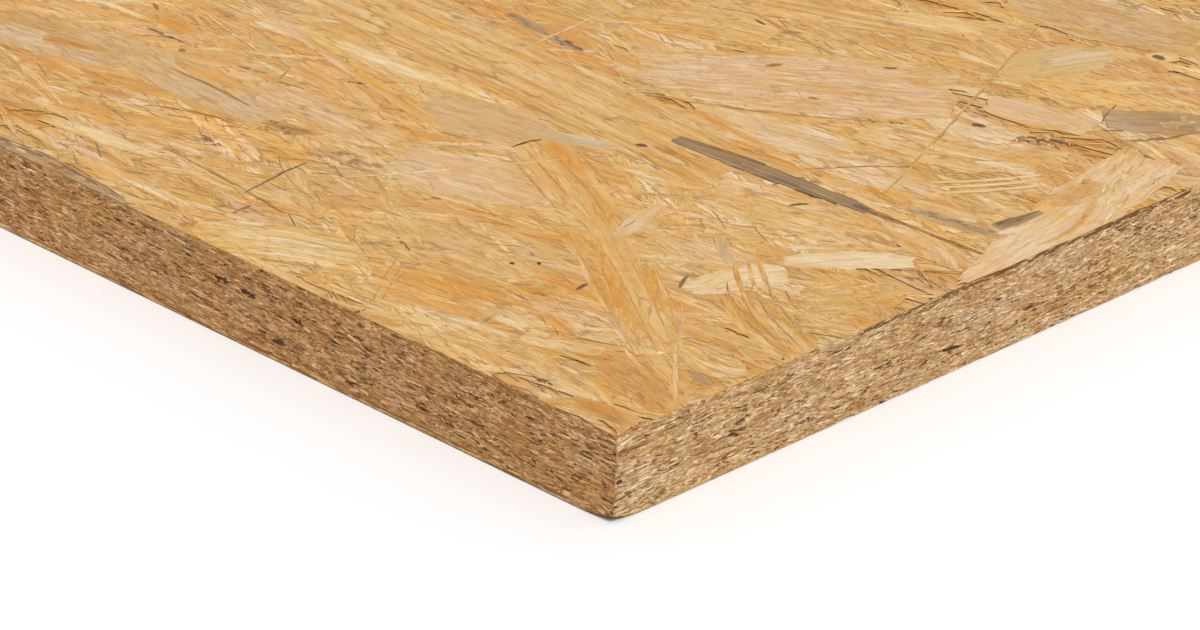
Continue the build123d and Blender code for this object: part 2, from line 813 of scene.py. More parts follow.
@dataclass
class Surface:
    """A mesh in the making: points, four-sided faces and what each point carries."""

    points: Array
    quads: NDArray[np.int64]
    plan: Array
    grain: Array
    tone: Array
    figure: Array
    rims: Array
    run: Array

    @staticmethod
    def join(parts: Sequence["Surface"]) -> "Surface":
        """Put several surfaces into one.

        Args:
            parts: The surfaces.

        Returns:
            One surface, with its faces counted on.
        """
        names = [item.name for item in fields(Surface)]
        made = {name: np.concatenate([getattr(part, name) for part in parts]) for name in names}
        shift = np.cumsum([0] + [len(part.points) for part in parts[:-1]])
        made["quads"] = np.concatenate([p.quads + s for p, s in zip(parts, shift)])
        return Surface(**made)

    def chart(self, margin: float = 0.005) -> Array:
        """Lay the surface flat by its own plan, to fill a square up to a small margin."""
        low, high = self.plan.min(axis=0), self.plan.max(axis=0)
        return margin + (1 - 2 * margin) * (self.plan - low) / (high - low)

    def piece(self, name: str, material: bpy.types.Material) -> bpy.types.Object:
        """Put the arrays into a mesh and make the piece that rides on the panel's body.

        Args:
            name: Name of the piece.
            material: Its finish.

        Returns:
            The finished object.
        """
        mesh = bpy.data.meshes.new(name)
        corners = self.quads.ravel()
        count = len(self.quads)
        mesh.vertices.add(len(self.points))
        mesh.vertices.foreach_set("co", self.points.ravel())
        mesh.loops.add(len(corners))
        mesh.loops.foreach_set("vertex_index", corners)
        mesh.polygons.add(count)
        mesh.polygons.foreach_set("loop_start", np.arange(count) * 4)
        mesh.polygons.foreach_set("loop_total", np.full(count, 4))
        mesh.polygons.foreach_set("use_smooth", np.ones(count, dtype=bool))
        for layer, table in (("grain", self.grain), ("plan", self.plan), ("OFBake", self.chart())):
            uv = mesh.uv_layers.new(name=layer)
            uv.data.foreach_set("uv", table[corners].ravel())
        tone = mesh.attributes.new("tone", "FLOAT_COLOR", "POINT")
        tone.data.foreach_set("color", self.tone.ravel())
        for layer in ("figure", "rims", "run"):
            held = mesh.attributes.new(layer, "FLOAT_VECTOR", "POINT")
            held.data.foreach_set("vector", getattr(self, layer).ravel())
        mesh.update(calc_edges=True)
        mesh.set_sharp_from_angle(angle=np.radians(SHARP_TURN))
        mesh.materials.append(material)
        piece = bpy.data.objects.new(name, mesh)
        bpy.context.scene.collection.objects.link(piece)
        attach(piece, BODY)
        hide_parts(NODE)
        log.info("%s: %d faces", name, count)
        return piece


@dataclass(frozen=True)
class Mat:
    """Turns strands into surfaces on one face of the panel.

    What starts with bed is what the points of the plain layer between the strands carry.
    """

    panel: Panel
    face: Face
    outline: Outline
    sink: float
    rim: float = 0.06 * MM
    wall: float = 0.05 * MM
    least_width: float = 0.1 * MM
    least_area: float = 1e-10
    tear_power: int = 5
    end_droop: float = 0.5
    ripple: float = 0.15
    bed_share: float = 0.9
    bed_seed: float = 0.5
    bed_figure: Triple = (0.0, 0.5, 0.0)
    bed_run: Triple = (0.0, 9.0, 0.0)

    def below(self, along: Array, across: Array, depth: Array) -> Array:
        """Lay points below the face, and over the worn corner below its arc instead.

        Args:
            along: Places along the face.
            across: Places across it.
            depth: Depths below it.

        Returns:
            Points in the panel's frame.
        """
        points = self.face.lay(along, across, depth)
        if self.face.out[2] < 0:
            points[..., 2] += self.panel.worn_floor(points[..., 0], points[..., 1])
        return points

    def surfaces(self, strands: Strands, grid: Grid, rng: Rng) -> Surface:
        """Work out the strands' surfaces.

        A point stands on the spine at s, moved sideways by t times the half width there. Each
        fibre row stops short of the end by its own small share, which tears the end, and the slant
        leans both ends the same way. The depth grows by the crown with the square of t and by half
        of it with the fourth power of s. A last ring round the strand turns down into the mat.

        Args:
            strands: The strands.
            grid: Divisions along a strand and across it.
            rng: Source of the random draws.

        Returns:
            One surface, with its faces from the deepest strand to the highest.
        """
        strands = strands.pick(np.argsort(-strands.depth))
        count = len(strands)
        rows, columns = grid
        s = np.pad(np.linspace(-1, 1, rows + 1), 1, mode="edge")[None, :, None]
        t = np.pad(np.linspace(-1, 1, columns + 1), 1, mode="edge")[None, None, :]
        outer = np.zeros((1, rows + 3, columns + 3))
        outer[:, (0, -1), :] = 1
        outer[:, :, (0, -1)] = 1
        shape = (count, rows + 3, columns + 3)

        def each(values: Array) -> Array:
            """Give one value a strand the shape of the grid."""
            return values[:, None, None]

        torn = rng.random((count, 2, columns + 1))
        torn = np.pad(torn, ((0, 0), (0, 0), (1, 1)), mode="edge") * each(strands.tear)
        short = np.where(s > 0, torn[:, 1:, :], torn[:, :1, :])
        step = s - np.sign(s) * np.abs(s) ** self.tear_power * short + each(strands.slant) * t
        start, middle, end = (
            part[:, None, None, :] for part in (strands.start, strands.middle, strands.end)
        )
        q = step[..., None]
        spine = start * q * (q - 1) / 2 + middle * (1 - q * q) + end * q * (q + 1) / 2
        way = start * (q - 0.5) - 2 * q * middle + end * (q + 0.5)
        length = np.linalg.norm(way, axis=-1, keepdims=True)
        way = way / length
        side = np.stack((-way[..., 1], way[..., 0]), axis=-1)
        w0, w1, w2 = (each(strands.half_width[:, k]) for k in range(3))
        width = w0 * s * (s - 1) / 2 + w1 * (1 - s * s) + w2 * s * (s + 1) / 2
        width = np.maximum(width, self.least_width)
        sway = rng.uniform(-1, 1, (count, rows + 1, 2))
        sway = np.pad(sway, ((0, 0), (1, 1), (0, 0)), mode="edge") * each(strands.wobble)
        sway = np.where(t > 0, sway[:, :, 1:], sway[:, :, :1])
        shift = t * width * (1 + sway * np.abs(t)) + outer * np.sign(t) * self.rim
        ahead = outer * np.sign(s) * self.rim * (np.abs(s) == 1)
        plan = spine + side * shift[..., None] + way * ahead[..., None]
        along, across = self.outline.hold(plan[..., 0], plan[..., 1])
        moved = np.stack((along, across), axis=-1) - plan
        half = np.linalg.norm(strands.end - strands.start, axis=-1) / 2
        u = each(half) * step + ahead + np.sum(moved * way, axis=-1)
        v = shift + np.sum(moved * side, axis=-1)
        ripple = rng.uniform(-1, 1, shape) * each(strands.crown) * self.ripple
        droop = each(strands.crown) * (t**2 + self.end_droop * s**4)
        depth = np.maximum(each(strands.depth) + droop + ripple, 0)
        depth = np.where(outer > 0, np.minimum(depth + self.wall, self.sink), depth)
        points = self.below(along, across, depth)
        line = np.where(t > 0, each(strands.line[:, 1]), each(strands.line[:, 0]))
        full = np.ones(shape)
        tone = np.concatenate(
            (
                np.broadcast_to(strands.tone[:, None, None, :], (*shape, 3)),
                (each(strands.seed) * full)[..., None],
            ),
            axis=-1,
        )
        figure = (each(strands.rib) * full, each(strands.pore) * full, each(strands.end_line) * full)
        rims = (t * full, width / MM * full, line * full)
        run = (s * full, each(half) / MM * full, each(strands.crisp) * full)
        quads = self.grid_faces(count, rows + 3, columns + 3)
        quads = quads[self.wide_enough(points.reshape(-1, 3), quads)]
        return Surface(
            points.reshape(-1, 3),
            quads,
            np.stack((along, across), axis=-1).reshape(-1, 2),
            np.stack((u, v), axis=-1).reshape(-1, 2),
            tone.reshape(-1, 4),
            np.stack(figure, axis=-1).reshape(-1, 3),
            np.stack(rims, axis=-1).reshape(-1, 3),
            np.stack(run, axis=-1).reshape(-1, 3),
        )

    @staticmethod
    def grid_faces(count: int, rows: int, columns: int) -> NDArray[np.int64]:
        """Join the points of several equal grids into four-sided faces.

        Args:
            count: Number of grids.
            rows: Points along a grid.
            columns: Points across it.

        Returns:
            Four point numbers a face, going round it anticlockwise as seen from outside.
        """
        first = np.arange(count)[:, None, None] * rows * columns
        cell = first + np.arange(rows - 1)[:, None] * columns + np.arange(columns - 1)
        corners = (cell, cell + columns, cell + columns + 1, cell + 1)
        return np.stack(corners, axis=-1).reshape(-1, 4)

    def wide_enough(self, points: Array, quads: NDArray[np.int64]) -> NDArray[np.bool_]:
        """Tell which faces still have an area after the saw line has held their points.

        Args:
            points: The points.
            quads: The faces.

        Returns:
            True for each face to keep.
        """
        a, b, c, d = (points[quads[:, k]] for k in range(4))
        area = np.linalg.norm(np.cross(c - a, d - b), axis=1) / 2
        return area > self.least_area

    def bay(self, bed: Surface, patch: Patch, batches: Sequence[Batch], rng: Rng) -> Surface:
        """Lay the strands of one patch over its plain layer.

        Args:
            bed: The plain layer.
            patch: Low and high limit along the face, then across it.
            batches: Strands of the whole face, with the grid of each batch.
            rng: Source of the random draws.

        Returns:
            One surface.
        """
        parts = [bed]
        for strands, grid in batches:
            own = strands.inside(patch)
            if own.any():
                parts.append(self.surfaces(strands.pick(own), grid, rng))
        return Surface.join(parts)

    def bed(self, patch: Patch, tone: Tone, pitch: float) -> Surface:
        """Lay the plain layer that shows between strands: a level grid at the mat's depth.

        Args:
            patch: Low and high limit along the face, then across it.
            tone: Its colour.
            pitch: Size of its cells.

        Returns:
            The layer's surface.
        """
        low_a, high_a, low_b, high_b = patch
        rows = max(2, int((high_a - low_a) / pitch) + 1)
        columns = max(2, int((high_b - low_b) / pitch) + 1)
        along, across = np.meshgrid(
            np.linspace(low_a, high_a, rows), np.linspace(low_b, high_b, columns), indexing="ij"
        )
        along, across = self.outline.hold(along, across)
        points = self.below(along, across, np.full(along.shape, self.sink * self.bed_share))
        plan = np.stack((along, across), axis=-1).reshape(-1, 2)
        count = len(plan)
        colour = np.tile(np.append(tone.linear, self.bed_seed), (count, 1))
        return Surface(
            points.reshape(-1, 3),
            self.grid_faces(1, rows, columns),
            plan,
            plan.copy(),
            colour,
            np.tile(self.bed_figure, (count, 1)),
            np.tile(self.bed_run, (count, 1)),
            np.tile(self.bed_run, (count, 1)),
        )


@dataclass(frozen=True)
class Cloud:
    """Cloudy noise: its waves a metre along the grain and across it, and how fine it is."""

    along: float
    across: float
    detail: float = 2.0
    rough: float = 0.6


class Graph:
    """Adds nodes to one tree and joins them."""

    def __init__(self, tree: bpy.types.NodeTree) -> None:
        """Start with an empty tree."""
        self.tree = tree
        tree.nodes.clear()

    def add(
        self, kind: str, settings: dict[str, object] | None = None, **inputs: Value
    ) -> bpy.types.Node:
        """Add one node.

        Args:
            kind: Type of the node.
            settings: Its own settings.
            **inputs: Sockets or plain values, by the input's name with _ for a space, or by its
                place as at_0, at_1 and so on.

        Returns:
            The node.
        """
        node = self.tree.nodes.new(kind)
        for name, value in (settings or {}).items():
            setattr(node, name, value)
        for name, value in inputs.items():
            key = int(name[3:]) if name.startswith("at_") else name.replace("_", " ")
            socket = node.inputs[key]
            if isinstance(value, Socket):
                self.tree.links.new(value, socket)
            else:
                socket.default_value = value
        return node

    def math(self, operation: str, *values: Value) -> Socket:
        """Do one sum on plain numbers."""
        inputs = {f"at_{k}": value for k, value in enumerate(values)}
        return self.add("ShaderNodeMath", {"operation": operation}, **inputs).outputs[0]

    def vector(self, operation: str, *values: Value) -> Socket:
        """Do one sum on vectors."""
        inputs = {f"at_{k}": value for k, value in enumerate(values)}
        return self.add("ShaderNodeVectorMath", {"operation": operation}, **inputs).outputs[0]

    def times(self, one: Value, other: Value) -> Socket:
        """Multiply two numbers."""
        return self.math("MULTIPLY", one, other)

    def less(self, one: Value, other: Value) -> Socket:
        """Take the second number from the first."""
        return self.math("SUBTRACT", one, other)

    def tint(self, colour: Value, factors: Value) -> Socket:
        """Multiply a colour part by part."""
        return self.vector("MULTIPLY", colour, factors)

    def scale(self, colour: Value, factor: Value) -> Socket:
        """Make a colour lighter or darker."""
        node = self.add("ShaderNodeVectorMath", {"operation": "SCALE"}, at_0=colour, Scale=factor)
        return node.outputs[0]

    def parts(self, vector: Value) -> list[Socket]:
        """Take a vector apart."""
        return list(self.add("ShaderNodeSeparateXYZ", Vector=vector).outputs)

    def joined(self, **parts: Value) -> Socket:
        """Put a vector together from its parts X, Y and Z."""
        return self.add("ShaderNodeCombineXYZ", **parts).outputs[0]

    def turned(self, place: Value, angle: Value) -> Socket:
        """Turn places about the way the face looks."""
        settings = {"rotation_type": "Z_AXIS"}
        return self.add("ShaderNodeVectorRotate", settings, Vector=place, Angle=angle).outputs[0]

    def ramp(self, value: Value, ends: Pair, levels: Pair = (0.0, 1.0)) -> Socket:
        """Stretch a range of values to another, smoothly and without going past its ends.

        Args:
            value: What to stretch.
            ends: Where the range starts and stops.
            levels: What it gives there.

        Returns:
            The stretched value.
        """
        node = self.add(
            "ShaderNodeMapRange",
            {"interpolation_type": "SMOOTHSTEP"},
            Value=value,
            From_Min=ends[0],
            From_Max=ends[1],
            To_Min=levels[0],
            To_Max=levels[1],
        )
        return node.outputs[0]

    def mix(self, factor: Value, one: Value, other: Value) -> Socket:
        """Blend two colours."""
        node = self.add("ShaderNodeMix", {"data_type": "RGBA"}, at_0=factor, at_6=one, at_7=other)
        return node.outputs[2]

    def noise(self, place: Value, cloud: Cloud) -> Socket:
        """Draw cloudy noise.

        Args:
            place: Where to draw it.
            cloud: Its waves and its detail.

        Returns:
            Levels from nought to one.
        """
        node = self.add(
            "ShaderNodeTexNoise",
            {"noise_dimensions": "3D"},
            Vector=self.vector("MULTIPLY", place, (cloud.along, cloud.across, 1.0)),
            Scale=1.0,
            Detail=cloud.detail,
            Roughness=cloud.rough,
        )
        return node.outputs[0]

    def cells(self, place: Value, scale: Triple) -> list[Socket]:
        """Draw cells that are stretched like the noise.

        Args:
            place: Where to draw them.
            scale: Cells to a metre, along each axis.

        Returns:
            Two random levels that each cell has of its own, and the distance to its border.
        """
        spread = self.vector("MULTIPLY", place, scale)
        cell = self.add("ShaderNodeTexVoronoi", Vector=spread, Scale=1.0)
        levels = self.add("ShaderNodeSeparateColor", Color=cell.outputs["Color"]).outputs
        border = self.add(
            "ShaderNodeTexVoronoi", {"feature": "DISTANCE_TO_EDGE"}, Vector=spread, Scale=1.0
        )
        return [levels[0], levels[1], border.outputs["Distance"]]

    def held(self, name: str) -> bpy.types.Node:
        """Read what the mesh carries under a name."""
        return self.add("ShaderNodeAttribute", {"attribute_name": name})


def rgba(tone: Tone) -> tuple[float, float, float, float]:
    """Give a tone as a socket wants it."""
    return (*(float(part) for part in tone.linear), 1.0)


@dataclass(frozen=True)
class WoodFinish:
    """Bare wood: fibres along each strand, ribs of late wood, and short ticks that cross them.

    What is light, dark, pale, late or amber is what a colour is multiplied by. What ends in range
    is where a noise starts to count and where it counts in full, and what ends in pores is the same
    for the strand's own share of pores. A crisp strand keeps its sides, and a soft one fades.
    """

    name: str
    matrix: Tone = Tone.GOLD
    apart: float = 527.0
    waver: Cloud = Cloud(75.0, 75.0, 1.5)
    waver_reach: float = 1.8 * MM
    fibre: Cloud = Cloud(150.0, 1900.0, 3.0, 0.65)
    streak: Cloud = Cloud(60.0, 760.0)
    band: Cloud = Cloud(5.0, 560.0, 1.5, 0.5)
    dash: Cloud = Cloud(170.0, 1700.0, 1.0, 0.5)
    mottle: Cloud = Cloud(75.0, 130.0, 3.0)
    stain: Cloud = Cloud(30.0, 60.0)
    fade: float = 0.85
    fade_share: float = 0.7
    fade_width: float = 4.0
    end_fade: float = 7.0
    fade_range: Pair = (0.9, 0.1)
    ragged: float = 2.0
    level_shares: Triple = (0.5, 0.25, 0.25)
    light: Triple = (1.09, 1.15, 1.34)
    dark: Triple = (0.85, 0.75, 0.53)
    dull_light: Triple = (1.22, 1.22, 1.22)
    dull_dark: Triple = (0.78, 0.75, 0.70)
    swing_range: Pair = (0.40, 0.60)
    swing_pores: Pair = (0.0, 0.5)
    swing_levels: Pair = (0.4, 1.0)
    flake: Triple = (55.0, 300.0, 1.0)
    flake_light: Triple = (1.05, 1.17, 1.52)
    flake_dark: Triple = (0.95, 0.83, 0.53)
    flake_tear: float = 12.0 * MM
    flake_turn: float = 44.0
    # Painted shade under the flakes' torn rims, with dark resin lines, along the flake borders
    shade_and_resin_width: float = 0.10
    shade_and_resin_depth: float = 0.8
    shade_and_resin_range: Pair = (0.47, 0.57)
    rib_depth: float = 0.8
    rib_range: Pair = (0.46, 0.62)
    late: Triple = (0.82, 0.70, 0.50)
    stain_depth: float = 0.8
    stain_range: Pair = (0.52, 0.70)
    amber: Triple = (0.98, 0.86, 0.53)
    bleach_range: Pair = (0.48, 0.32)
    bleach_pale: Triple = (1.01, 1.09, 1.36)
    dash_depth: float = 0.75
    dash_range: Pair = (0.63, 0.74)
    dash_pores: Pair = (0.2, 1.0)
    split_share: float = 0.7
    split_range: Pair = (0.36, 0.27)
    split_pale: Triple = (1.10, 1.18, 1.36)
    tick: Cloud = Cloud(210.0, 1800.0, 1.0)
    tick_patch: Cloud = Cloud(40.0, 40.0, 1.0)
    tick_turns: tuple[float, ...] = (-8.0, 20.0, -32.0, 6.0)
    tick_apart: Pair = (3.1, 1.7)
    tick_depth: float = 0.75
    tick_range: Pair = (0.62, 0.72)
    tick_patch_range: Pair = (0.46, 0.60)
    tick_pores: Pair = (0.0, 0.5)
    most_blue: float = 0.58
    # Seams: dark glue lines with painted shade along a strand's sides and ends
    seam_shade_width: float = 0.35
    seam_shade_range: Pair = (0.42, 0.62)
    end_seam_shade_width: float = 1.2
    roughness: Pair = (0.55, 0.72)
    roughness_range: Pair = (0.3, 0.7)
    relief: float = 0.08 * MM
    streak_relief: float = 0.6
    bump: float = 0.5
    specular: float = 0.3

    def material(self) -> bpy.types.Material:
        """Build the finish as nodes, step by step from the strand's own tone.

        Returns:
            The material.
        """
        material = bpy.data.materials.new(self.name)
        material.use_nodes = True
        tree = WoodTree(material.node_tree, self)
        colour = tree.stained(tree.fibred(tree.faded()))
        colour, sunk = tree.marked(colour)
        height = tree.math("MULTIPLY_ADD", tree.streak, self.streak_relief, tree.fibre)
        height = tree.less(height, sunk)
        bump = tree.add("ShaderNodeBump", Strength=self.bump, Distance=self.relief, Height=height)
        shader = tree.add(
            "ShaderNodeBsdfPrincipled",
            Base_Color=tree.seamed_with_shade(colour),
            Roughness=tree.ramp(tree.fibre, self.roughness_range, self.roughness),
            Specular_IOR_Level=self.specular,
            Normal=bump.outputs[0],
        )
        tree.add("ShaderNodeOutputMaterial", Surface=shader.outputs[0])
        return material


class WoodTree(Graph):
    """The nodes of one wood finish, with the sockets that its steps share.

    Inset and back are how far in from the strand's side and from its end a place lies, in
    millimetres. Soft is what is left of one when crisp is taken away.
    """

    def __init__(self, tree: bpy.types.NodeTree, wood: WoodFinish) -> None:
        """Read what the mesh carries and draw the noises along each strand's own grain.

        Args:
            tree: The material's tree.
            wood: The finish.
        """
        super().__init__(tree)
        self.wood = wood
        tone = self.held("tone").outputs
        self.tone = tone["Color"]
        self.rib, self.pore, self.stop = self.parts(self.held("figure").outputs["Vector"])
        side, self.half_width, self.line = self.parts(self.held("rims").outputs["Vector"])
        end, self.half_length, self.crisp = self.parts(self.held("run").outputs["Vector"])
        self.soft = self.less(1.0, self.crisp)
        self.inset = self.times(self.less(1.0, self.math("ABSOLUTE", side)), self.half_width)
        self.back = self.times(self.less(1.0, self.math("ABSOLUTE", end)), self.half_length)
        own = self.times(tone["Alpha"], wood.apart)
        apart = self.joined(X=own, Z=own)
        grain = self.add("ShaderNodeUVMap", {"uv_map": "grain"}).outputs[0]
        self.plan = self.add("ShaderNodeUVMap", {"uv_map": "plan"}).outputs[0]
        waver = self.less(self.noise(self.plan, wood.waver), MIDDLE)
        waver = self.joined(Y=self.times(waver, wood.waver_reach))
        swayed = self.vector("ADD", grain, waver)
        place = self.vector("ADD", swayed, apart)
        self.streak = self.noise(place, wood.streak)
        self.band = self.noise(place, wood.band)
        torn = self.joined(X=self.times(self.less(self.streak, MIDDLE), wood.flake_tear))
        self.cell, lean, self.border = self.cells(self.vector("ADD", place, torn), wood.flake)
        lean = self.times(self.less(lean, MIDDLE), self.soft)
        leant = self.turned(swayed, self.times(lean, float(np.radians(wood.flake_turn))))
        leant = self.vector("ADD", leant, apart)
        self.fibre = self.noise(leant, wood.fibre)
        self.dash = self.noise(leant, wood.dash)
        self.mottle = self.noise(self.vector("ADD", self.plan, waver), wood.mottle)
        self.stain = self.noise(self.plan, wood.stain)

    def faded(self) -> Socket:
        """Run the strand's tone into the mat's own colour along its torn sides and ends.

        Returns:
            The strand's colour.
        """
        wood = self.wood
        reach = self.times(self.half_width, wood.fade_share)
        edge = self.math("DIVIDE", self.inset, self.math("MINIMUM", wood.fade_width, reach))
        reach = self.times(self.half_length, wood.fade_share)
        back = self.math("DIVIDE", self.back, self.math("MINIMUM", wood.end_fade, reach))
        edge = self.math("MINIMUM", edge, back)
        ragged = self.times(self.streak, wood.ragged)
        ragged = self.math("ADD", ragged, self.times(self.fibre, wood.ragged))
        edge = self.math("ADD", edge, self.less(ragged, wood.ragged))
        fade = self.times(self.ramp(edge, wood.fade_range), wood.fade)
        return self.mix(self.times(fade, self.soft), self.tone, rgba(wood.matrix))

    def fibred(self, colour: Socket) -> Socket:
        """Lighten and darken the colour along its fibres, and break a soft strand into flakes edged with
        resin and painted shade.

        Args:
            colour: The colour so far.

        Returns:
            The colour with its fibres and flakes.
        """
        wood = self.wood
        fine, middling, broad = wood.level_shares
        level = self.math("ADD", self.times(self.fibre, fine), self.times(self.streak, middling))
        level = self.math("ADD", level, self.times(self.mottle, broad))
        lighter = self.mix(self.crisp, (*wood.light, 1.0), (*wood.dull_light, 1.0))
        darker = self.mix(self.crisp, (*wood.dark, 1.0), (*wood.dull_dark, 1.0))
        swing = self.less(self.ramp(level, wood.swing_range), MIDDLE)
        rough = self.ramp(self.pore, wood.swing_pores, wood.swing_levels)
        swing = self.math("MULTIPLY_ADD", swing, rough, MIDDLE)
        colour = self.mix(swing, self.tint(colour, darker), self.tint(colour, lighter))
        dark = self.tint(colour, wood.flake_dark)
        light = self.tint(colour, wood.flake_light)
        flaked = self.mix(self.cell, dark, light)
        # Painted shade under the flakes' rims, with dark resin lines, along the flake borders
        shade_and_resin = self.ramp(self.border, (wood.shade_and_resin_width, 0.0))
        shade_and_resin = self.times(shade_and_resin, self.ramp(self.mottle, wood.shade_and_resin_range))
        flaked = self.mix(self.times(shade_and_resin, wood.shade_and_resin_depth), flaked, rgba(Tone.GRAIN))
        return self.mix(self.soft, colour, flaked)

    def stained(self, colour: Socket) -> Socket:
        """Lay the ribs of late wood and the amber and pale stains over the colour.

        Args:
            colour: The colour so far.

        Returns:
            The colour with its ribs and stains.
        """
        wood = self.wood
        rib = self.times(self.ramp(self.band, wood.rib_range), self.rib)
        colour = self.mix(self.times(rib, wood.rib_depth), colour, self.tint(colour, wood.late))
        stained = self.times(self.ramp(self.stain, wood.stain_range), wood.stain_depth)
        colour = self.mix(stained, colour, self.tint(colour, wood.amber))
        bleached = self.times(self.ramp(self.stain, wood.bleach_range), wood.stain_depth)
        return self.mix(bleached, colour, self.tint(colour, wood.bleach_pale))

    def ticks(self) -> Socket:
        """Draw short dark ticks in several directions, each in patches of its own.

        Returns:
            How strong the ticks are, from nought to one.
        """
        wood = self.wood
        total: Value = 0.0
        for number, turn in enumerate(wood.tick_turns):
            apart = (wood.tick_apart[0] * number, wood.tick_apart[1] * number, 0.0)
            shifted = self.vector("ADD", self.plan, apart)
            turned = self.turned(shifted, float(np.radians(turn)))
            mark = self.ramp(self.noise(turned, wood.tick), wood.tick_range)
            where = self.ramp(self.noise(shifted, wood.tick_patch), wood.tick_patch_range)
            total = self.math("MAXIMUM", total, self.times(mark, where))
        return total

    def marked(self, colour: Socket) -> tuple[Socket, Socket]:
        """Lay dark dashes, pale splits and ticks over the colour.

        Args:
            colour: The colour so far.

        Returns:
            The colour with its marks, and how far the dashes and ticks are sunk.
        """
        wood = self.wood
        pit = self.ramp(self.dash, wood.dash_range)
        pit = self.times(pit, self.ramp(self.pore, wood.dash_pores))
        colour = self.mix(self.times(pit, wood.dash_depth), colour, rgba(Tone.RED_BROWN))
        split = self.ramp(self.dash, wood.split_range)
        split = self.times(split, self.less(wood.split_share, self.crisp))
        colour = self.mix(split, colour, self.tint(colour, wood.split_pale))
        ticks = self.times(self.ticks(), wood.tick_depth)
        ticks = self.times(ticks, self.ramp(self.pore, wood.tick_pores))
        colour = self.mix(ticks, colour, rgba(Tone.RED_BROWN))
        return colour, self.math("MAXIMUM", pit, ticks)

    def seamed_with_shade(self, colour: Socket) -> Socket:
        """Hold the colour's blue down and draw the dark seams along the strand's sides and ends, glue lines
        with painted shade.

        Args:
            colour: The colour so far.

        Returns:
            The finished colour.
        """
        wood = self.wood
        red, green, blue = self.parts(colour)
        blue = self.math("MINIMUM", blue, self.times(green, wood.most_blue))
        colour = self.joined(X=red, Y=green, Z=blue)
        # Dark glue lines along the sides and across the ends, with painted shade at the strand's border
        seam_shade = self.times(self.ramp(self.inset, (wood.seam_shade_width, 0.0)), self.line)
        stop = self.times(self.ramp(self.back, (wood.end_seam_shade_width, 0.0)), self.stop)
        seam_shade = self.math("MAXIMUM", seam_shade, stop)
        seam_shade = self.times(seam_shade, self.ramp(self.streak, wood.seam_shade_range))
        return self.mix(seam_shade, colour, rgba(Tone.UMBER))


def sawn_finish(name: str, matrix: Tone) -> WoodFinish:
    """Give the finish of an edge that the saw has cut through: shorter, rougher and more flecked.

    Args:
        name: Name of the finish.
        matrix: The edge's own colour.

    Returns:
        The finish.
    """
    return WoodFinish(
        name,
        matrix,
        fibre=Cloud(420.0, 1900.0, 3.0, 0.65),
        streak=Cloud(170.0, 950.0),
        dash=Cloud(480.0, 1600.0, 1.0, 0.5),
        tick=Cloud(480.0, 1500.0, 1.0),
        tick_patch=Cloud(150.0, 150.0, 1.0),
        tick_turns=(0.0, 11.0, -14.0),
        mottle=Cloud(240.0, 420.0, 3.0),
        stain=Cloud(25.0, 120.0),
        light=(1.27, 1.37, 1.64),
        dark=(0.53, 0.42, 0.25),
        flake=(130.0, 850.0, 1.0),
        flake_light=(1.12, 1.15, 1.24),
        flake_dark=(0.80, 0.74, 0.62),
        flake_tear=2.0 * MM,
        flake_turn=24.0,
        most_blue=0.62,
        fade_width=0.6,
        end_fade=2.0,
        stain_depth=0.4,
        seam_shade_width=0.10,
        roughness=(0.7, 0.85),
    )


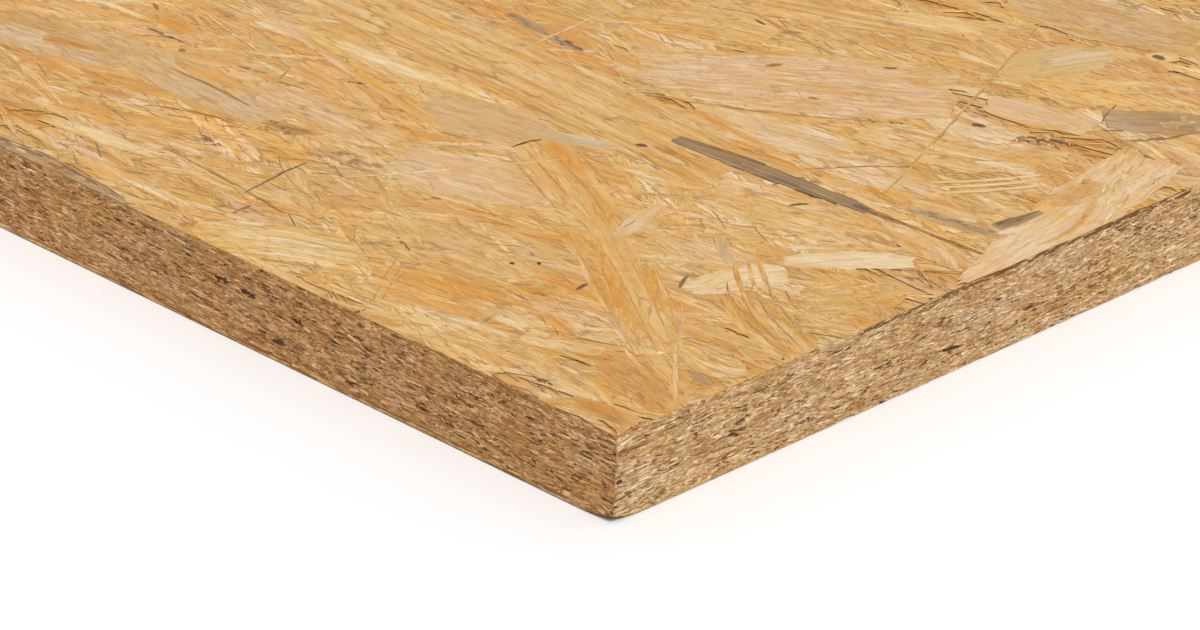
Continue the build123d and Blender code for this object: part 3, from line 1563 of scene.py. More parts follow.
@dataclass(frozen=True)
class BroadFace:
    """The top or the underside: a mat of strands, laid in bays."""

    panel: Panel
    face: Face
    seed: int
    bays: Grid = (4, 2)
    mat_sink: float = 0.50 * MM
    mat_depth: Pair = (0.10 * MM, 0.43 * MM)
    close_depth: Pair = (0.100 * MM, 0.225 * MM)
    chip_depth: Pair = (0.062 * MM, 0.095 * MM)
    laid_depth: Pair = (0.006 * MM, 0.052 * MM)
    laid_steps: int = 18
    laid_grid: Grid = (16, 5)
    bit_grid: Grid = (4, 1)
    far_grid: Grid = (2, 1)
    bed_pitch: float = 60.0 * MM
    close_reach: Pair = (0.33, 0.36)
    close_slope: Triple = (0.765, 0.644, 0.285)
    long_strand: StrandKind = StrandKind(
        (60, 150), (8, 34), (0.09, 0.15), 3.4, crown=0.015, tear=0.06, lined=0.2, grid=(12, 6)
    )
    far_chip: StrandKind = StrandKind(
        (20, 60), (3, 12), (0.06, 0.09), 0.3, spread=28.0, crown=0.01, tear=0.05
    )
    chip: StrandKind = StrandKind(
        (10, 48), (0.9, 6), (0.06, 0.10), 1.0, spread=22.0, crown=0.006, tear=0.1,
        taper=(0.05, 0.6), crisp=0.35, slender=5.0, grid=(5, 3),
    )
    sliver: StrandKind = StrandKind(
        (3, 14), (0.15, 0.45), (0.05, 0.07), 0.012, spread=26.0, crown=0.005,
        taper=(0.05, 0.6), crisp=0.6, grid=(4, 1),
    )
    wisp: StrandKind = StrandKind(
        (1.6, 8), (0.14, 0.45), (0.032, 0.06), 0.075, spread=26.0, crown=0.004,
        taper=(0.05, 0.5), crisp=0.3,
    )
    hair: StrandKind = StrandKind(
        (1.5, 8), (0.1, 0.24), (0.045, 0.06), 0.007, spread=24.0, crown=0.004,
        taper=(0.05, 0.5), crisp=0.6, grid=(2, 1),
    )

    def patches(self) -> list[tuple[str, Patch]]:
        """Divide the face into bays.

        Returns:
            The bays' names and their limits along and across the face.
        """
        a = np.linspace(-self.face.half_along, self.face.half_along, self.bays[0] + 1)
        b = np.linspace(-self.face.half_across, self.face.half_across, self.bays[1] + 1)
        return [
            (f"{self.face.name}_bay_{i + 1}_{j + 1}", (a[i], a[i + 1], b[j], b[j + 1]))
            for i in range(self.bays[0])
            for j in range(self.bays[1])
        ]

    def close(self, strands: Strands) -> NDArray[np.bool_]:
        """Tell which strands lie near the photographed corner.

        Args:
            strands: The strands.

        Returns:
            True for each strand whose middle the photograph shows, or nearly so.
        """
        run_a = self.face.half_along - strands.middle[:, 0]
        run_b = self.face.half_across + strands.middle[:, 1]
        slope_a, slope_b, limit = self.close_slope
        within = (run_a < self.close_reach[0]) & (run_b < self.close_reach[1])
        return within & (run_a * slope_a + run_b * slope_b < limit)

    def fine(self, rng: Rng) -> list[Batch]:
        """Strew the finer strands near the photographed corner.

        Args:
            rng: Source of the random draws.

        Returns:
            One batch of strands a kind, with the grid of each.
        """
        half_a, half_b = self.face.half_along, self.face.half_across
        patch = (half_a - self.close_reach[0], half_a, -half_b, self.close_reach[1] - half_b)
        kinds = (
            (self.long_strand, FACE_MIX),
            (self.chip, CHIP_MIX),
            (self.wisp, WISP_MIX),
            (self.sliver, LINE_MIX),
            (self.hair, HAIR_MIX),
        )
        strewn = [kind.scatter(patch, mix, rng) for kind, mix in kinds]
        strewn = [batch.pick(self.close(batch)) for batch in strewn]
        strewn[0] = strewn[0].restacked(*self.close_depth)
        strewn[1] = strewn[1].restacked(*self.chip_depth)
        return [(batch, kind.grid) for batch, (kind, _) in zip(strewn, kinds)]

    def build(
        self, material: bpy.types.Material, laid: LaidStrands | None = None
    ) -> list[bpy.types.Object]:
        """Strew the mat and make its bays.

        Args:
            material: The finish.
            laid: Strands laid where the photograph shows the face. Its corner then gets finer strands too.

        Returns:
            One piece a bay, after the piece with the listed strands.
        """
        rng = np.random.default_rng(self.seed)
        outline = self.panel.broad_outline(self.face, rng)
        mat = Mat(self.panel, self.face, outline, sink=self.mat_sink)
        half_a, half_b = self.face.half_along, self.face.half_across
        whole = (-half_a, half_a, -half_b, half_b)
        kinds = (self.long_strand, self.far_chip)
        coarse = Strands.join([kind.scatter(whole, FACE_MIX, rng) for kind in kinds])
        fine: list[Batch] = []
        made = []
        if laid is not None:
            coarse = coarse.pick(~self.close(coarse))
            fine = self.fine(rng)
            strands = laid.strands(rng).restacked(*self.laid_depth, self.laid_steps)
            broken = laid.broken()
            parts = [
                mat.surfaces(strands.pick(~broken), self.laid_grid, rng),
                mat.surfaces(strands.pick(broken), self.bit_grid, rng),
            ]
            made.append(Surface.join(parts).piece(f"{self.face.name}_corner", material))
        batches = [(coarse.restacked(*self.mat_depth), self.far_grid), *fine]
        for name, patch in self.patches():
            bed = mat.bed(patch, Tone.TAN, self.bed_pitch)
            made.append(mat.bay(bed, patch, batches, rng).piece(name, material))
        return made


@dataclass(frozen=True)
class SawnEdge:
    """One sawn edge: strands cut through, stacked up the panel's thickness, with torn flecks, and painted
    shade for its pits and gaps.
    """

    panel: Panel
    face: Face
    mix: ToneMix
    seed: int
    bays: int
    close_end: int = 0
    close_reach: float = 0.26
    sink: float = 0.35 * MM
    rim: float = 0.04 * MM
    bed_margin: float = 0.3 * MM
    bed_pitch: float = 2.0 * MM
    laid_grid: Grid = (6, 2)
    cut: StrandKind = StrandKind(
        (20, 60), (1.0, 2.2), (0.0, 0.08), 2.2, angle=0.0, spread=2.0, crown=0.02, taper=(0.2, 0.9)
    )
    fine_cut: StrandKind = StrandKind(
        (1.6, 10), (0.4, 1.3), (0.03, 0.11), 3.6, angle=0.0, spread=7.0, crown=0.02,
        taper=(0.15, 0.9), grid=(2, 1),
    )
    # Flecks: the dark ones are painted shade of small pits, the pale ones light wood
    fleck: StrandKind = StrandKind(
        (0.3, 1.8), (0.13, 0.40), (0.01, 0.03), 0.26, angle=0.0, spread=10.0,
        taper=(0.1, 0.6), crisp=0.8, slender=2.6, clump=14,
    )
    # Gaps: dark strands at the surface, painted shade of the gaps between cut strands
    gap: StrandKind = StrandKind(
        (1.2, 4.5), (0.22, 0.55), (0.0, 0.01), 0.055, angle=0.0, spread=9.0, tear=0.3,
        taper=(0.1, 0.6), crisp=0.8, clump=4, grid=(2, 1),
    )
    vein: StrandKind = StrandKind(
        (3, 14), (0.25, 0.6), (0.01, 0.03), 0.10, angle=0.0, spread=5.0, tear=0.1,
        taper=(0.1, 0.6), crisp=0.3, grid=(2, 1),
    )

    def build(
        self, material: bpy.types.Material, laid: LaidStrands | None = None
    ) -> list[bpy.types.Object]:
        """Stack the cut strands and make the edge's pieces.

        Args:
            material: The finish.
            laid: Marks laid where the photograph shows the edge.

        Returns:
            The pieces, from one end of the edge to the other.
        """
        rng = np.random.default_rng(self.seed)
        outline = self.panel.edge_outline(self.face)
        mat = Mat(self.panel, self.face, outline, sink=self.sink, rim=self.rim)
        half, height = self.face.half_along, self.face.half_across
        coarse = self.cut.scatter((-half, half, -height, height), self.mix, rng)
        batches = [(coarse, self.cut.grid)]
        if laid is not None:
            near = self.close_end * half
            close = np.abs(coarse.middle[:, 0] - near) < self.close_reach
            inner = near - self.close_end * self.close_reach
            patch = (min(near, inner), max(near, inner), -height, height)
            kinds = (
                (self.fine_cut, self.mix),
                (self.vein, VEIN_MIX),
                (self.fleck, PIT_SHADE_AND_FLECK_MIX),
                (self.gap, GAP_SHADE_MIX),
            )
            batches = [(coarse.pick(~close), self.cut.grid)]
            batches += [(kind.scatter(patch, mix, rng), kind.grid) for kind, mix in kinds]
            batches.append((laid.strands(rng), self.laid_grid))
        stations = np.linspace(-half, half, self.bays + 1)
        end, side = half - self.bed_margin, height - self.bed_margin
        made = []
        for k, (low, high) in enumerate(zip(stations[:-1], stations[1:])):
            ground = (max(low, -end), min(high, end), -side, side)
            bed = mat.bed(ground, self.mix.tones[-1], self.bed_pitch)
            edge = mat.bay(bed, (low, high, -height, height), batches, rng)
            made.append(edge.piece(f"{self.face.name}_{k + 1}", material))
        return made


@dataclass(frozen=True)
class Studio:
    """Plain soft light, and a pale floor that the panel lies on."""

    sky: float = 0.53
    sun: float = 2.15
    sun_towards: Triple = (0.40, -0.15, 0.5)
    sun_width: float = 25.0
    sun_distance: float = 4.0
    floor_half: float = 40.0
    floor_drop: float = 0.3 * MM
    floor_seen: float = 0.97
    floor_bounce: float = 0.54

    @staticmethod
    def seen_directly(graph: Graph) -> Socket:
        """Tell rays that show the background from rays that only light the panel.

        Args:
            graph: The tree to add to.

        Returns:
            One for rays that show it, and nought for the others.
        """
        path = graph.add("ShaderNodeLightPath").outputs
        seen = graph.math("MAXIMUM", path["Is Camera Ray"], path["Is Glossy Ray"])
        return graph.math("MAXIMUM", seen, path["Is Transmission Ray"])

    def add_sky(self) -> None:
        """Add the plain sky, which is white where it is seen and dimmer where it only lights."""
        world = bpy.data.worlds.new("plain_sky")
        world.use_nodes = True
        graph = Graph(world.node_tree)
        strength = graph.ramp(self.seen_directly(graph), (0.0, 1.0), (self.sky, 1.0))
        sky = graph.add("ShaderNodeBackground", Color=(1, 1, 1, 1), Strength=strength)
        graph.add("ShaderNodeOutputWorld", Surface=sky.outputs[0])
        bpy.context.scene.world = world

    def add_sun(self) -> None:
        """Add the soft sun."""
        lamp = bpy.data.lights.new("soft_sun", "SUN")
        lamp.energy = self.sun
        lamp.angle = np.radians(self.sun_width)
        sun = bpy.data.objects.new("soft_sun", lamp)
        back = np.array(self.sun_towards) / np.linalg.norm(self.sun_towards)
        right = np.cross((0, 1, 0), back)
        right /= np.linalg.norm(right)
        pose = np.eye(4)
        pose[:3, :3] = np.stack((right, np.cross(back, right), back), axis=1)
        pose[:3, 3] = back * self.sun_distance
        sun.matrix_world = Matrix(pose.tolist())
        bpy.context.scene.collection.objects.link(sun)

    def add_floor(self) -> None:
        """Add the pale floor just under the panel."""
        reach, drop = self.floor_half, -self.floor_drop
        corners = [(-reach, -reach, drop), (reach, -reach, drop), (reach, reach, drop), (-reach, reach, drop)]
        mesh = bpy.data.meshes.new("pale_floor")
        mesh.from_pydata(corners, [], [(0, 1, 2, 3)])
        paint = bpy.data.materials.new("pale_floor")
        paint.use_nodes = True
        graph = Graph(paint.node_tree)
        levels = (self.floor_bounce, self.floor_seen)
        level = graph.ramp(self.seen_directly(graph), (0.0, 1.0), levels)
        shader = graph.add("ShaderNodeBsdfDiffuse", Color=graph.scale((1, 1, 1), level))
        graph.add("ShaderNodeOutputMaterial", Surface=shader.outputs[0])
        mesh.materials.append(paint)
        floor = bpy.data.objects.new("pale_floor", mesh)
        bpy.context.scene.collection.objects.link(floor)

    def build(self) -> None:
        """Add the sky, the sun and the floor."""
        self.add_sky()
        self.add_sun()
        self.add_floor()


def pit(spine: Spine, across: Triple) -> Laid:
    """Give a small pit in a sawn edge, painted as a dark mark of shade at the surface."""
    return Laid(spine, across, Tone.UMBER, 6, 1.0, bits=3)


def painted_hole_shade(spine: Spine, across: Triple) -> Laid:
    """Give the painted shade at the bottom of a larger hole in a sawn edge."""
    return Laid(spine, across, Tone.HOLE_SHADE, 6, 1.0, bits=6)


def torn_rim_and_shade(spine: Spine, across: Triple) -> Laid:
    """Give the dark torn wood round a larger hole in a sawn edge, with painted shade."""
    return Laid(spine, across, Tone.UMBER, 5, 1.0, bits=4)


# Spines that carry more than one strand
FIRST_RIB: Spine = (566, 230, 597, 285, 638, 359)
SECOND_RIB: Spine = (608, 254, 634, 305, 657, 352)
THIRD_RIB: Spine = (629, 257, 654, 305, 671, 341)
LEFT_CRACK: Spine = (245, 192, 276, 176, 307, 162)
MIDDLE_CRACK: Spine = (512, 147, 526, 142, 543, 139)
FRONT_RIM: Spine = (-28, 211, 304, 372, 596, 514)
LOW_HOLE: Spine = (616, 483, 619, 482, 622, 480)
MIDDLE_HOLE: Spine = (728, 436, 733, 435, 739, 434)

# Strands and marks of the top, each table named after what it makes up in the photograph
BROAD_STRANDS = (
    Laid((330, -12, 530, 76, 745, 182), (50, 64, 50), Tone.GOLD, 1, 0.1, 0.9, 0.3),
    Laid((700, 186, 800, 214, 900, 244), (26, 42, 22), Tone.PALE_GOLD, 0, 0.1, 0.4, 0.5),
    Laid((860, 128, 950, 150, 1040, 166), (20, 36, 20), Tone.PALE_GOLD, 0, 0.1, 0.4, 0.5),
    Laid((876, 222, 926, 244, 962, 270), (18, 28, 10), Tone.PALE_PINK, 0, 0.1, 0.4, 0.5),
    Laid((690, 98, 765, 110, 850, 124), (14, 26, 16), Tone.PALE_PINK, 0, 0.1, 0.2, 0.6),
    Laid((800, 150, 870, 172, 950, 196), (14, 28, 14), Tone.PALE_PINK, 0, 0.1, 0.3, 0.6),
    Laid((930, 112, 990, 134, 1052, 150), (14, 28, 14), Tone.PALE_PINK, 0, 0.1, 0.2, 0.6),
    Laid((100, 34, 186, 78, 276, 124), (24, 44, 26), Tone.DUSKY, 0, 0.35, 0.1, 0.3),
    Laid((628, 66, 785, 80, 962, 96), (24, 58, 44), Tone.PINK_BEIGE, 1, 0.35, line=(0, 0.4)),
    Laid((690, 108, 770, 131, 855, 152), (20, 34, 24), Tone.PALE_PINK, 0, 0.2, 0.3, 0.3),
    Laid((420, 100, 486, 120, 560, 140), (20, 40, 12), Tone.DUSKY, 1, 0.45, 0.1, 0.25),
    Laid((394, 156, 470, 178, 556, 202), (26, 46, 16), Tone.PINK_BEIGE, 1, 0.45, 0.1, 0.25),
    Laid((255, 84, 325, 112, 398, 143), (18, 34, 20), Tone.PINK_BEIGE, 0, 0.2),
    Laid((536, 138, 570, 182, 612, 230), (44, 46, 34), Tone.DEEP_GOLD, 1, 0.35, 0.3, 0.15),
    Laid((592, 226, 624, 290, 660, 356), (50, 58, 44), Tone.GOLD, 1, 0.3, 0.2, 0.25),
    Laid((190, 232, 272, 240, 360, 256), (20, 36, 18), Tone.CREAM, 1, 0.3, 0.6, 0.4),
    Laid((370, 272, 440, 292, 526, 318), (20, 42, 24), Tone.DEEP_GOLD, 0, 0.1, 0.4, 0.6),
    Laid((800, 300, 855, 298, 900, 290), (24, 34, 14), Tone.GOLD, 0, 0.2, 0.4, 0.6),
    Laid((985, 102, 1040, 115, 1094, 129), (16, 24, 14), Tone.PINK_BEIGE, 1, 0.3, 0.1, 0.2),
    Laid((1012, -6, 1100, 20, 1206, 44), (26, 40, 30), Tone.DUSKY, 0, 0.35, 0.4, 0.5),
    Laid((-10, 14, 60, 38, 140, 64), (26, 44, 24), Tone.DUSKY, 0, 0.2, 0.4, 0.6),
    Laid((620, 18, 700, 22, 775, 40), (16, 30, 16), Tone.GOLD, 0, 0.2, 0.3, 0.5),
)
FLAKE_AT_END = (
    Laid((1158, 153, 1072, 214, 956, 285), (48, 54, 8), Tone.PALE_PINK, 3,
         0.6, 0.2, 0.2, line=(0, 0.3), tear=0.12),
    Laid((1100, 181, 1078, 193, 1046, 204), (12, 26, 10), Tone.DUSKY, 4, 0.0, 0.3, 0.3),
    Laid((1096, 183, 1076, 194, 1048, 204), (6, 18, 8), Tone.AMBER, 5, 0.0, 0.3, 0.3),
    Laid((1094, 196, 1076, 226, 1034, 246), (8, 6, 3), Tone.TAN, 4, 0.0, 0.3, 0.3),
    Laid((1140, 152, 1118, 186, 1100, 218), (44, 46, 20), Tone.DUSKY, 5, 0.2, bits=14, thin=0.12),
    Laid((1140, 156, 1118, 188, 1100, 218), (44, 46, 20), Tone.CREAM, 5, 0.2, bits=18, thin=0.2),
)
RIBBED_STRANDS = (
    Laid((758, 0, 860, 20, 985, 46), (12, 15, 8), Tone.GOLD, 1, 0.2, 1.0, 0.3),
    Laid((732, 290, 766, 322, 804, 356), (26, 44, 36), Tone.GOLD, 2, 0.2, 0.8, 0.9),
)
CORNER_STRANDS = (
    Laid((566, 398, 604, 412, 640, 424), (10, 18, 10), Tone.AMBER, 2, 0.1, 0.4, 0.6),
    Laid((556, 366, 584, 386, 608, 406), (12, 22, 12), Tone.PALE_GOLD, 1, 0.1, 0.3, 0.6),
    Laid((686, 346, 716, 364, 748, 370), (14, 26, 14), Tone.PALE_GOLD, 1, 0.1, 0.3, 0.6),
    Laid((682, 398, 700, 396, 722, 386), (10, 18, 10), Tone.PALE_GOLD, 1, 0.1, 0.3, 0.6),
)
CREAM_FLAKES = (
    Laid((256, 18, 395, 64, 518, 108), (12, 18, 4), Tone.CREAM, 2, 0.3, 0.3, 0.3),
    Laid((884, 14, 935, 23, 984, 32), (8, 16, 10), Tone.CREAM, 2, 0.3, 0.2, 0.1),
    Laid((1008, 73, 1056, 62, 1112, 53), (12, 34, 10), Tone.YELLOW, 2, 0.4, 0.1, 0.1),
    Laid((534, 133, 575, 140, 620, 149), (6, 10, 2), Tone.PALE_GREY, 3, 0.45, 0.1, 0.05),
)
WHITE_FLAKES = (
    Laid((684, 290, 712, 284, 744, 276), (9, 22, 18), Tone.WHITE_WOOD, 3, 0.5, 0.0, 0.0, tear=0.2),
    Laid((734, 279, 760, 276, 790, 274), (14, 24, 16), Tone.WHITE_WOOD, 3, 0.5, 0.0, 0.0, tear=0.2),
    Laid((735, 265, 738, 279, 743, 293), (4, 6, 4), Tone.TAN, 5, 0.2, 0.8, 0.9),
    Laid((748, 261, 751, 275, 756, 292), (3, 5, 3), Tone.PALE_GOLD, 5, 0.2, 0.8, 0.9),
    Laid((758, 259, 763, 274, 770, 291), (4, 6, 4), Tone.TAN, 5, 0.2, 0.8, 0.9),
    Laid((782, 262, 846, 260, 918, 262), (8, 17, 10), Tone.WHITE_WOOD, 2, 0.6, 0.1, 0.05),
)
CORNER_FLAKES = (
    Laid((505, 352, 550, 372, 600, 398), (12, 20, 14), Tone.GOLD, 1, 0.2, 0.3, 0.5),
    Laid((640, 346, 656, 352, 672, 359), (4, 8, 5), Tone.CREAM, 3, 0.2, 0.1, 0.1, bits=7),
    Laid((676, 342, 675, 376, 676, 412), (3, 5, 4), Tone.PALE_GOLD, 4, 0.3, 0.3, 0.3),
)
RIGHT_FLAKES = (
    Laid((1146, 57, 1162, 57, 1180, 58), (5, 9, 5), Tone.CREAM, 3, 0.3, 0.1, 0.1),
    Laid((926, 182, 985, 180, 1044, 174), (2, 2.5, 2), Tone.CREAM, 3, 0.5, 0.0, 0.0, line=(0.4, 0.4)),
    Laid((928, 187, 985, 185, 1046, 179), (2, 2.5, 2), Tone.CREAM, 3, 0.5, 0.0, 0.0, line=(0.4, 0.4)),
    Laid((930, 193, 990, 190, 1040, 185), (2, 2.5, 2), Tone.CREAM, 3, 0.5, 0.0, 0.0, line=(0.4, 0.4)),
)
SMALL_FLAKES = (
    Laid((719, 234, 724, 249, 731, 264), (8, 12, 7), Tone.PALE_GREY, 3, 0.2, 0.2, 0.2),
    Laid((618, 236, 636, 222, 660, 206), (8, 16, 8), Tone.PINK_BEIGE, 2, 0.0, 0.1, 0.2),
    Laid((520, 336, 560, 345, 606, 352), (8, 14, 8), Tone.PALE_GOLD, 2, 0.2, 0.5, 0.3),
    Laid((470, 300, 510, 318, 548, 336), (8, 16, 8), Tone.PALE_GOLD, 1, 0.2, 0.5, 0.3),
    Laid((38, 115, 100, 136, 163, 158), (8, 11, 6), Tone.CREAM, 1, 0.3, 0.4, 0.3),
    Laid((624, 168, 644, 173, 667, 181), (5, 10, 5), Tone.CREAM, 2, 0.2, 0.3, 0.3),
    Laid((998, 233, 1016, 230, 1036, 222), (3, 4.5, 2), Tone.WHITE_WOOD, 5, 0.5, 0.1, 0.1),
)
ORANGE_STRANDS = (
    Laid((250, -2, 345, 66, 445, 130), (7, 9, 8), Tone.PINK_BEIGE, 2, 0.3, 0.4, 0.2, line=(0.2, 0.2)),
    Laid((352, 69, 395, 96, 446, 131), (7, 9, 8), Tone.DEEP_GOLD, 3, 0.2, 0.4, 0.2),
    Laid((175, 61, 212, 76, 246, 95), (7, 13, 7), Tone.ORANGE, 2, 0.3, 0.3, 0.2),
    Laid((160, 18, 180, 26, 199, 35), (7, 11, 6), Tone.ORANGE, 2, 0.3, 0.3, 0.2),
    Laid((292, 66, 314, 77, 339, 90), (7, 14, 6), Tone.ORANGE, 2, 0.3, 0.9, 0.2),
    Laid((42, 36, 70, 43, 101, 51), (5, 7, 3), Tone.DEEP_ORANGE, 2, 0.2, 0.5, 0.5),
    Laid((78, 84, 105, 90, 134, 97), (5, 8, 4), Tone.DEEP_ORANGE, 2, 0.1, 0.6, 0.5),
    Laid((-4, 80, 16, 88, 38, 98), (8, 11, 6), Tone.ORANGE, 2, 0.3, 0.5, 0.5),
    Laid((40, 55, 52, 60, 67, 66), (5, 9, 5), Tone.ORANGE, 2, 0.3, 0.4, 0.4),
    Laid((46, 127, 55, 133, 66, 139), (5, 8, 5), Tone.ORANGE, 2, 0.3, 0.4, 0.6),
    Laid((201, 159, 214, 162, 228, 168), (5, 8, 3), Tone.ORANGE, 2, 0.3, 0.3, 0.2),
    Laid((684, 107, 738, 133, 790, 157), (3, 5, 3), Tone.ORANGE, 2, 0.4, 0.6, 0.4),
    Laid((530, 13, 563, 21, 601, 33), (6, 9, 4), Tone.ORANGE, 2, 0.3, 0.4, 0.2),
    Laid((1136, 58, 1150, 64, 1168, 72), (6, 10, 4), Tone.DEEP_ORANGE, 2, 0.3, 0.3, 0.3),
)
ORANGE_MARKS = (
    Laid((549, 314, 562, 323, 578, 334), (10, 16, 9), Tone.ORANGE, 3, 0.1, 0.2, 0.5),
    Laid((606, 360, 640, 384, 674, 410), (20, 36, 24), Tone.AMBER, 2, 0.1, 0.5, 0.5),
    Laid((622, 378, 642, 394, 662, 412), (8, 16, 8), Tone.DEEP_ORANGE, 3, 0.5, 0.5, 0.7, bits=7),
    Laid((654, 217, 676, 213, 696, 210), (1.5, 3, 1.5), Tone.DEEP_ORANGE, 4, 0.5, bits=5),
    Laid((733, 224, 757, 227, 783, 230), (1.2, 2.6, 1.2), Tone.DEEP_ORANGE, 4, 0.5, bits=5),
    Laid((324, 99, 352, 108, 381, 112), (3, 5, 2), Tone.DEEP_ORANGE, 3, 0.5, 0.4, 0.6, bits=6),
    Laid((664, 298, 676, 304, 688, 309), (8, 12, 8), Tone.ORANGE, 3, 0.1),
    Laid((682, 326, 694, 332, 712, 341), (6, 11, 5), Tone.ORANGE, 2, 0.3, 0.2, 0.2),
)
TAN_STRANDS = (
    Laid((322, 146, 352, 159, 388, 174), (8, 14, 8), Tone.DUSKY, 2, 0.2, 1.0, 1.0, line=(0.3, 0.3)),
    Laid((330, 151, 356, 160, 384, 171), (8, 14, 8), Tone.GRAIN, 3, 0.4, bits=9),
    Laid((405, 60, 450, 84, 500, 104), (3, 5, 3), Tone.TAN, 1, 0.2, 0.5, 0.5),
    Laid((966, 33, 984, 44, 1003, 56), (5, 9, 4), Tone.TAN, 2, 0.2, 0.5, 0.5),
    Laid((930, 156, 955, 160, 985, 172), (4, 7, 4), Tone.TAN, 2, 0.0, 0.5, 0.8),
    Laid((1000, 150, 1035, 151, 1070, 154), (4, 9, 4), Tone.TAN, 2, 0.0, 0.5, 0.8),
    Laid((884, 190, 930, 206, 980, 220), (8, 14, 8), Tone.PALE_GOLD, 2, 0.2, 0.3, 0.5),
    Laid((520, 404, 548, 402, 576, 404), (5, 9, 5), Tone.ORANGE, 2, 0.2, 0.4, 0.5),
)
LONG_GREY_STRAND = (
    Laid((673, 138, 764, 171, 872, 212), (8, 12, 7), Tone.DULL_GREY, 4,
         1.0, 0.3, 0.3, line=(0.6, 0.4), tear=0.03),
    Laid((673, 135, 764, 165, 872, 207), (2, 4, 2), Tone.DULL_BROWN, 6, 0.9, bits=9, thin=0.6),
    Laid((676, 140, 764, 172, 868, 212), (6, 12, 6), Tone.DULL_PALE, 5, 0.9, bits=8, thin=0.2),
    Laid((690, 148, 780, 181, 868, 214), (6, 10, 5), Tone.DULL_BROWN, 5, 0.9, bits=9, thin=0.34),
    Laid((852, 204, 915, 228, 989, 256), (5, 2.2, 0.9), Tone.DULL_BROWN, 5, 1.0, 0.3, 0.3),
    Laid((860, 207, 920, 230, 980, 253), (5, 5, 3), Tone.GRAIN, 5, 0.8, bits=10),
)
BACK_GREY_STRANDS = (
    Laid((506, 13, 528, 23, 549, 35), (4, 8, 5), Tone.DULL_PALE, 4, 0.7, 0.4, 0.6, line=(0.4, 0.4)),
    Laid((506, 12, 528, 22, 549, 34), (4, 8, 5), Tone.DULL_GREY, 5, 0.9, bits=7),
    Laid((550, 36, 567, 44, 585, 52), (5, 7, 3), Tone.DULL_PALE, 4, 0.7, 0.5, 0.8, line=(0.4, 0.4), tear=0.3),
    Laid((550, 36, 567, 44, 585, 51), (5, 7, 4), Tone.DULL_BROWN, 5, 0.9, bits=7),
)
LEFT_GREY_STRAND = (
    Laid((-12, 139, 60, 168, 128, 204), (13, 12, 3), Tone.DULL_PALE, 4,
         1.0, 0.4, 0.6, line=(0.5, 0.1), tear=0.05),
    Laid((-12, 138, 60, 167, 128, 203), (11, 11, 2), Tone.GREY, 5, 0.8, bits=16, thin=0.6),
    Laid((-12, 137, 60, 165, 126, 202), (10, 11, 3), Tone.DULL_GREY, 5, 0.9, bits=34, thin=0.7),
    Laid((-12, 134, 60, 163, 126, 201), (7, 9, 3), Tone.DULL_BROWN, 6, 1.0, bits=6, thin=0.25),
)
RIGHT_GREY_STRAND = (
    Laid((1101, 119, 1160, 122, 1226, 126), (17, 22, 18), Tone.DULL_PALE, 4,
         0.7, 0.5, 0.7, line=(0.3, 0.5), stop=0.4),
    Laid((1104, 118, 1150, 119, 1206, 123), (16, 20, 16), Tone.GREY, 5, 0.7, bits=6, thin=0.25),
    Laid((1160, 121, 1184, 123, 1206, 124), (14, 18, 16), Tone.GREY, 5, 0.4, bits=7, thin=0.9),
    Laid((1081, 106, 1098, 108, 1116, 111), (2, 6, 3), Tone.DULL_PALE, 4, 0.5, 0.3, 0.3, bits=5),
)
GREY_BESIDE_FLAKE = (
    Laid((906, 207, 952, 222, 1006, 238), (4, 11, 6), Tone.GREY, 4, 0.1, 0.5, 0.5),
    Laid((916, 211, 955, 223, 998, 234), (5, 10, 5), Tone.DULL_GREY, 5, 0.7, bits=12),
    Laid((994, 227, 1016, 221, 1042, 211), (8, 9, 4), Tone.DULL_GREY, 4, 0.7, 0.4, 0.5, line=(0.3, 0.3)),
    Laid((996, 225, 1016, 219, 1040, 211), (6, 7, 3), Tone.DULL_BROWN, 5, 0.9, bits=6),
)
DARK_CHIPS = (
    Laid((687, 369, 701, 377, 717, 388), (1.6, 5, 1.6), Tone.DULL_PALE, 5, 0.4, 0.5, 0.5, tear=0.3),
    Laid((576, 290, 582, 286, 588, 283), (1.2, 3.4, 1.2), Tone.DULL_BROWN, 5, 0.8, tear=0.3),
    Laid((577, 333, 590, 333, 605, 332), (3, 6, 3), Tone.DULL_PALE, 5, 0.4, bits=8),
    Laid((523, 329, 532, 330, 542, 329), (3, 6, 3), Tone.DULL_PALE, 5, 0.4, bits=6),
    Laid((679, 288, 683, 281, 688, 275), (1.4, 4, 1.4), Tone.DULL_BROWN, 5, 0.7, tear=0.3),
    Laid((199, 134, 210, 140, 222, 147), (2, 6, 2), Tone.DULL_BROWN, 4, 0.5, bits=5),
)
RED_TEARS = (
    Laid((235, 65, 250, 69, 269, 74), (2, 6, 2), Tone.RED_BROWN, 4, 0.5, bits=5),
    Laid((264, 120, 292, 129, 328, 134), (5, 8, 2), Tone.GRAIN, 4, 0.0, 0.3, 0.8),
    Laid((268, 121, 284, 128, 304, 132), (6, 11, 4), Tone.RED_BROWN, 5, 0.3, 0.3, 0.6, bits=11),
    Laid((1006, 142, 1042, 140, 1084, 147), (6, 14, 4), Tone.DEEP_ORANGE, 5, 0.4, bits=18, thin=0.6),
    Laid((1010, 140, 1044, 140, 1080, 146), (6, 12, 4), Tone.RED_BROWN, 5, 0.6, bits=18, thin=0.8),
    Laid((1020, 139, 1046, 141, 1076, 147), (4, 8, 3), Tone.UMBER, 6, 0.9, bits=14, thin=0.8),
)
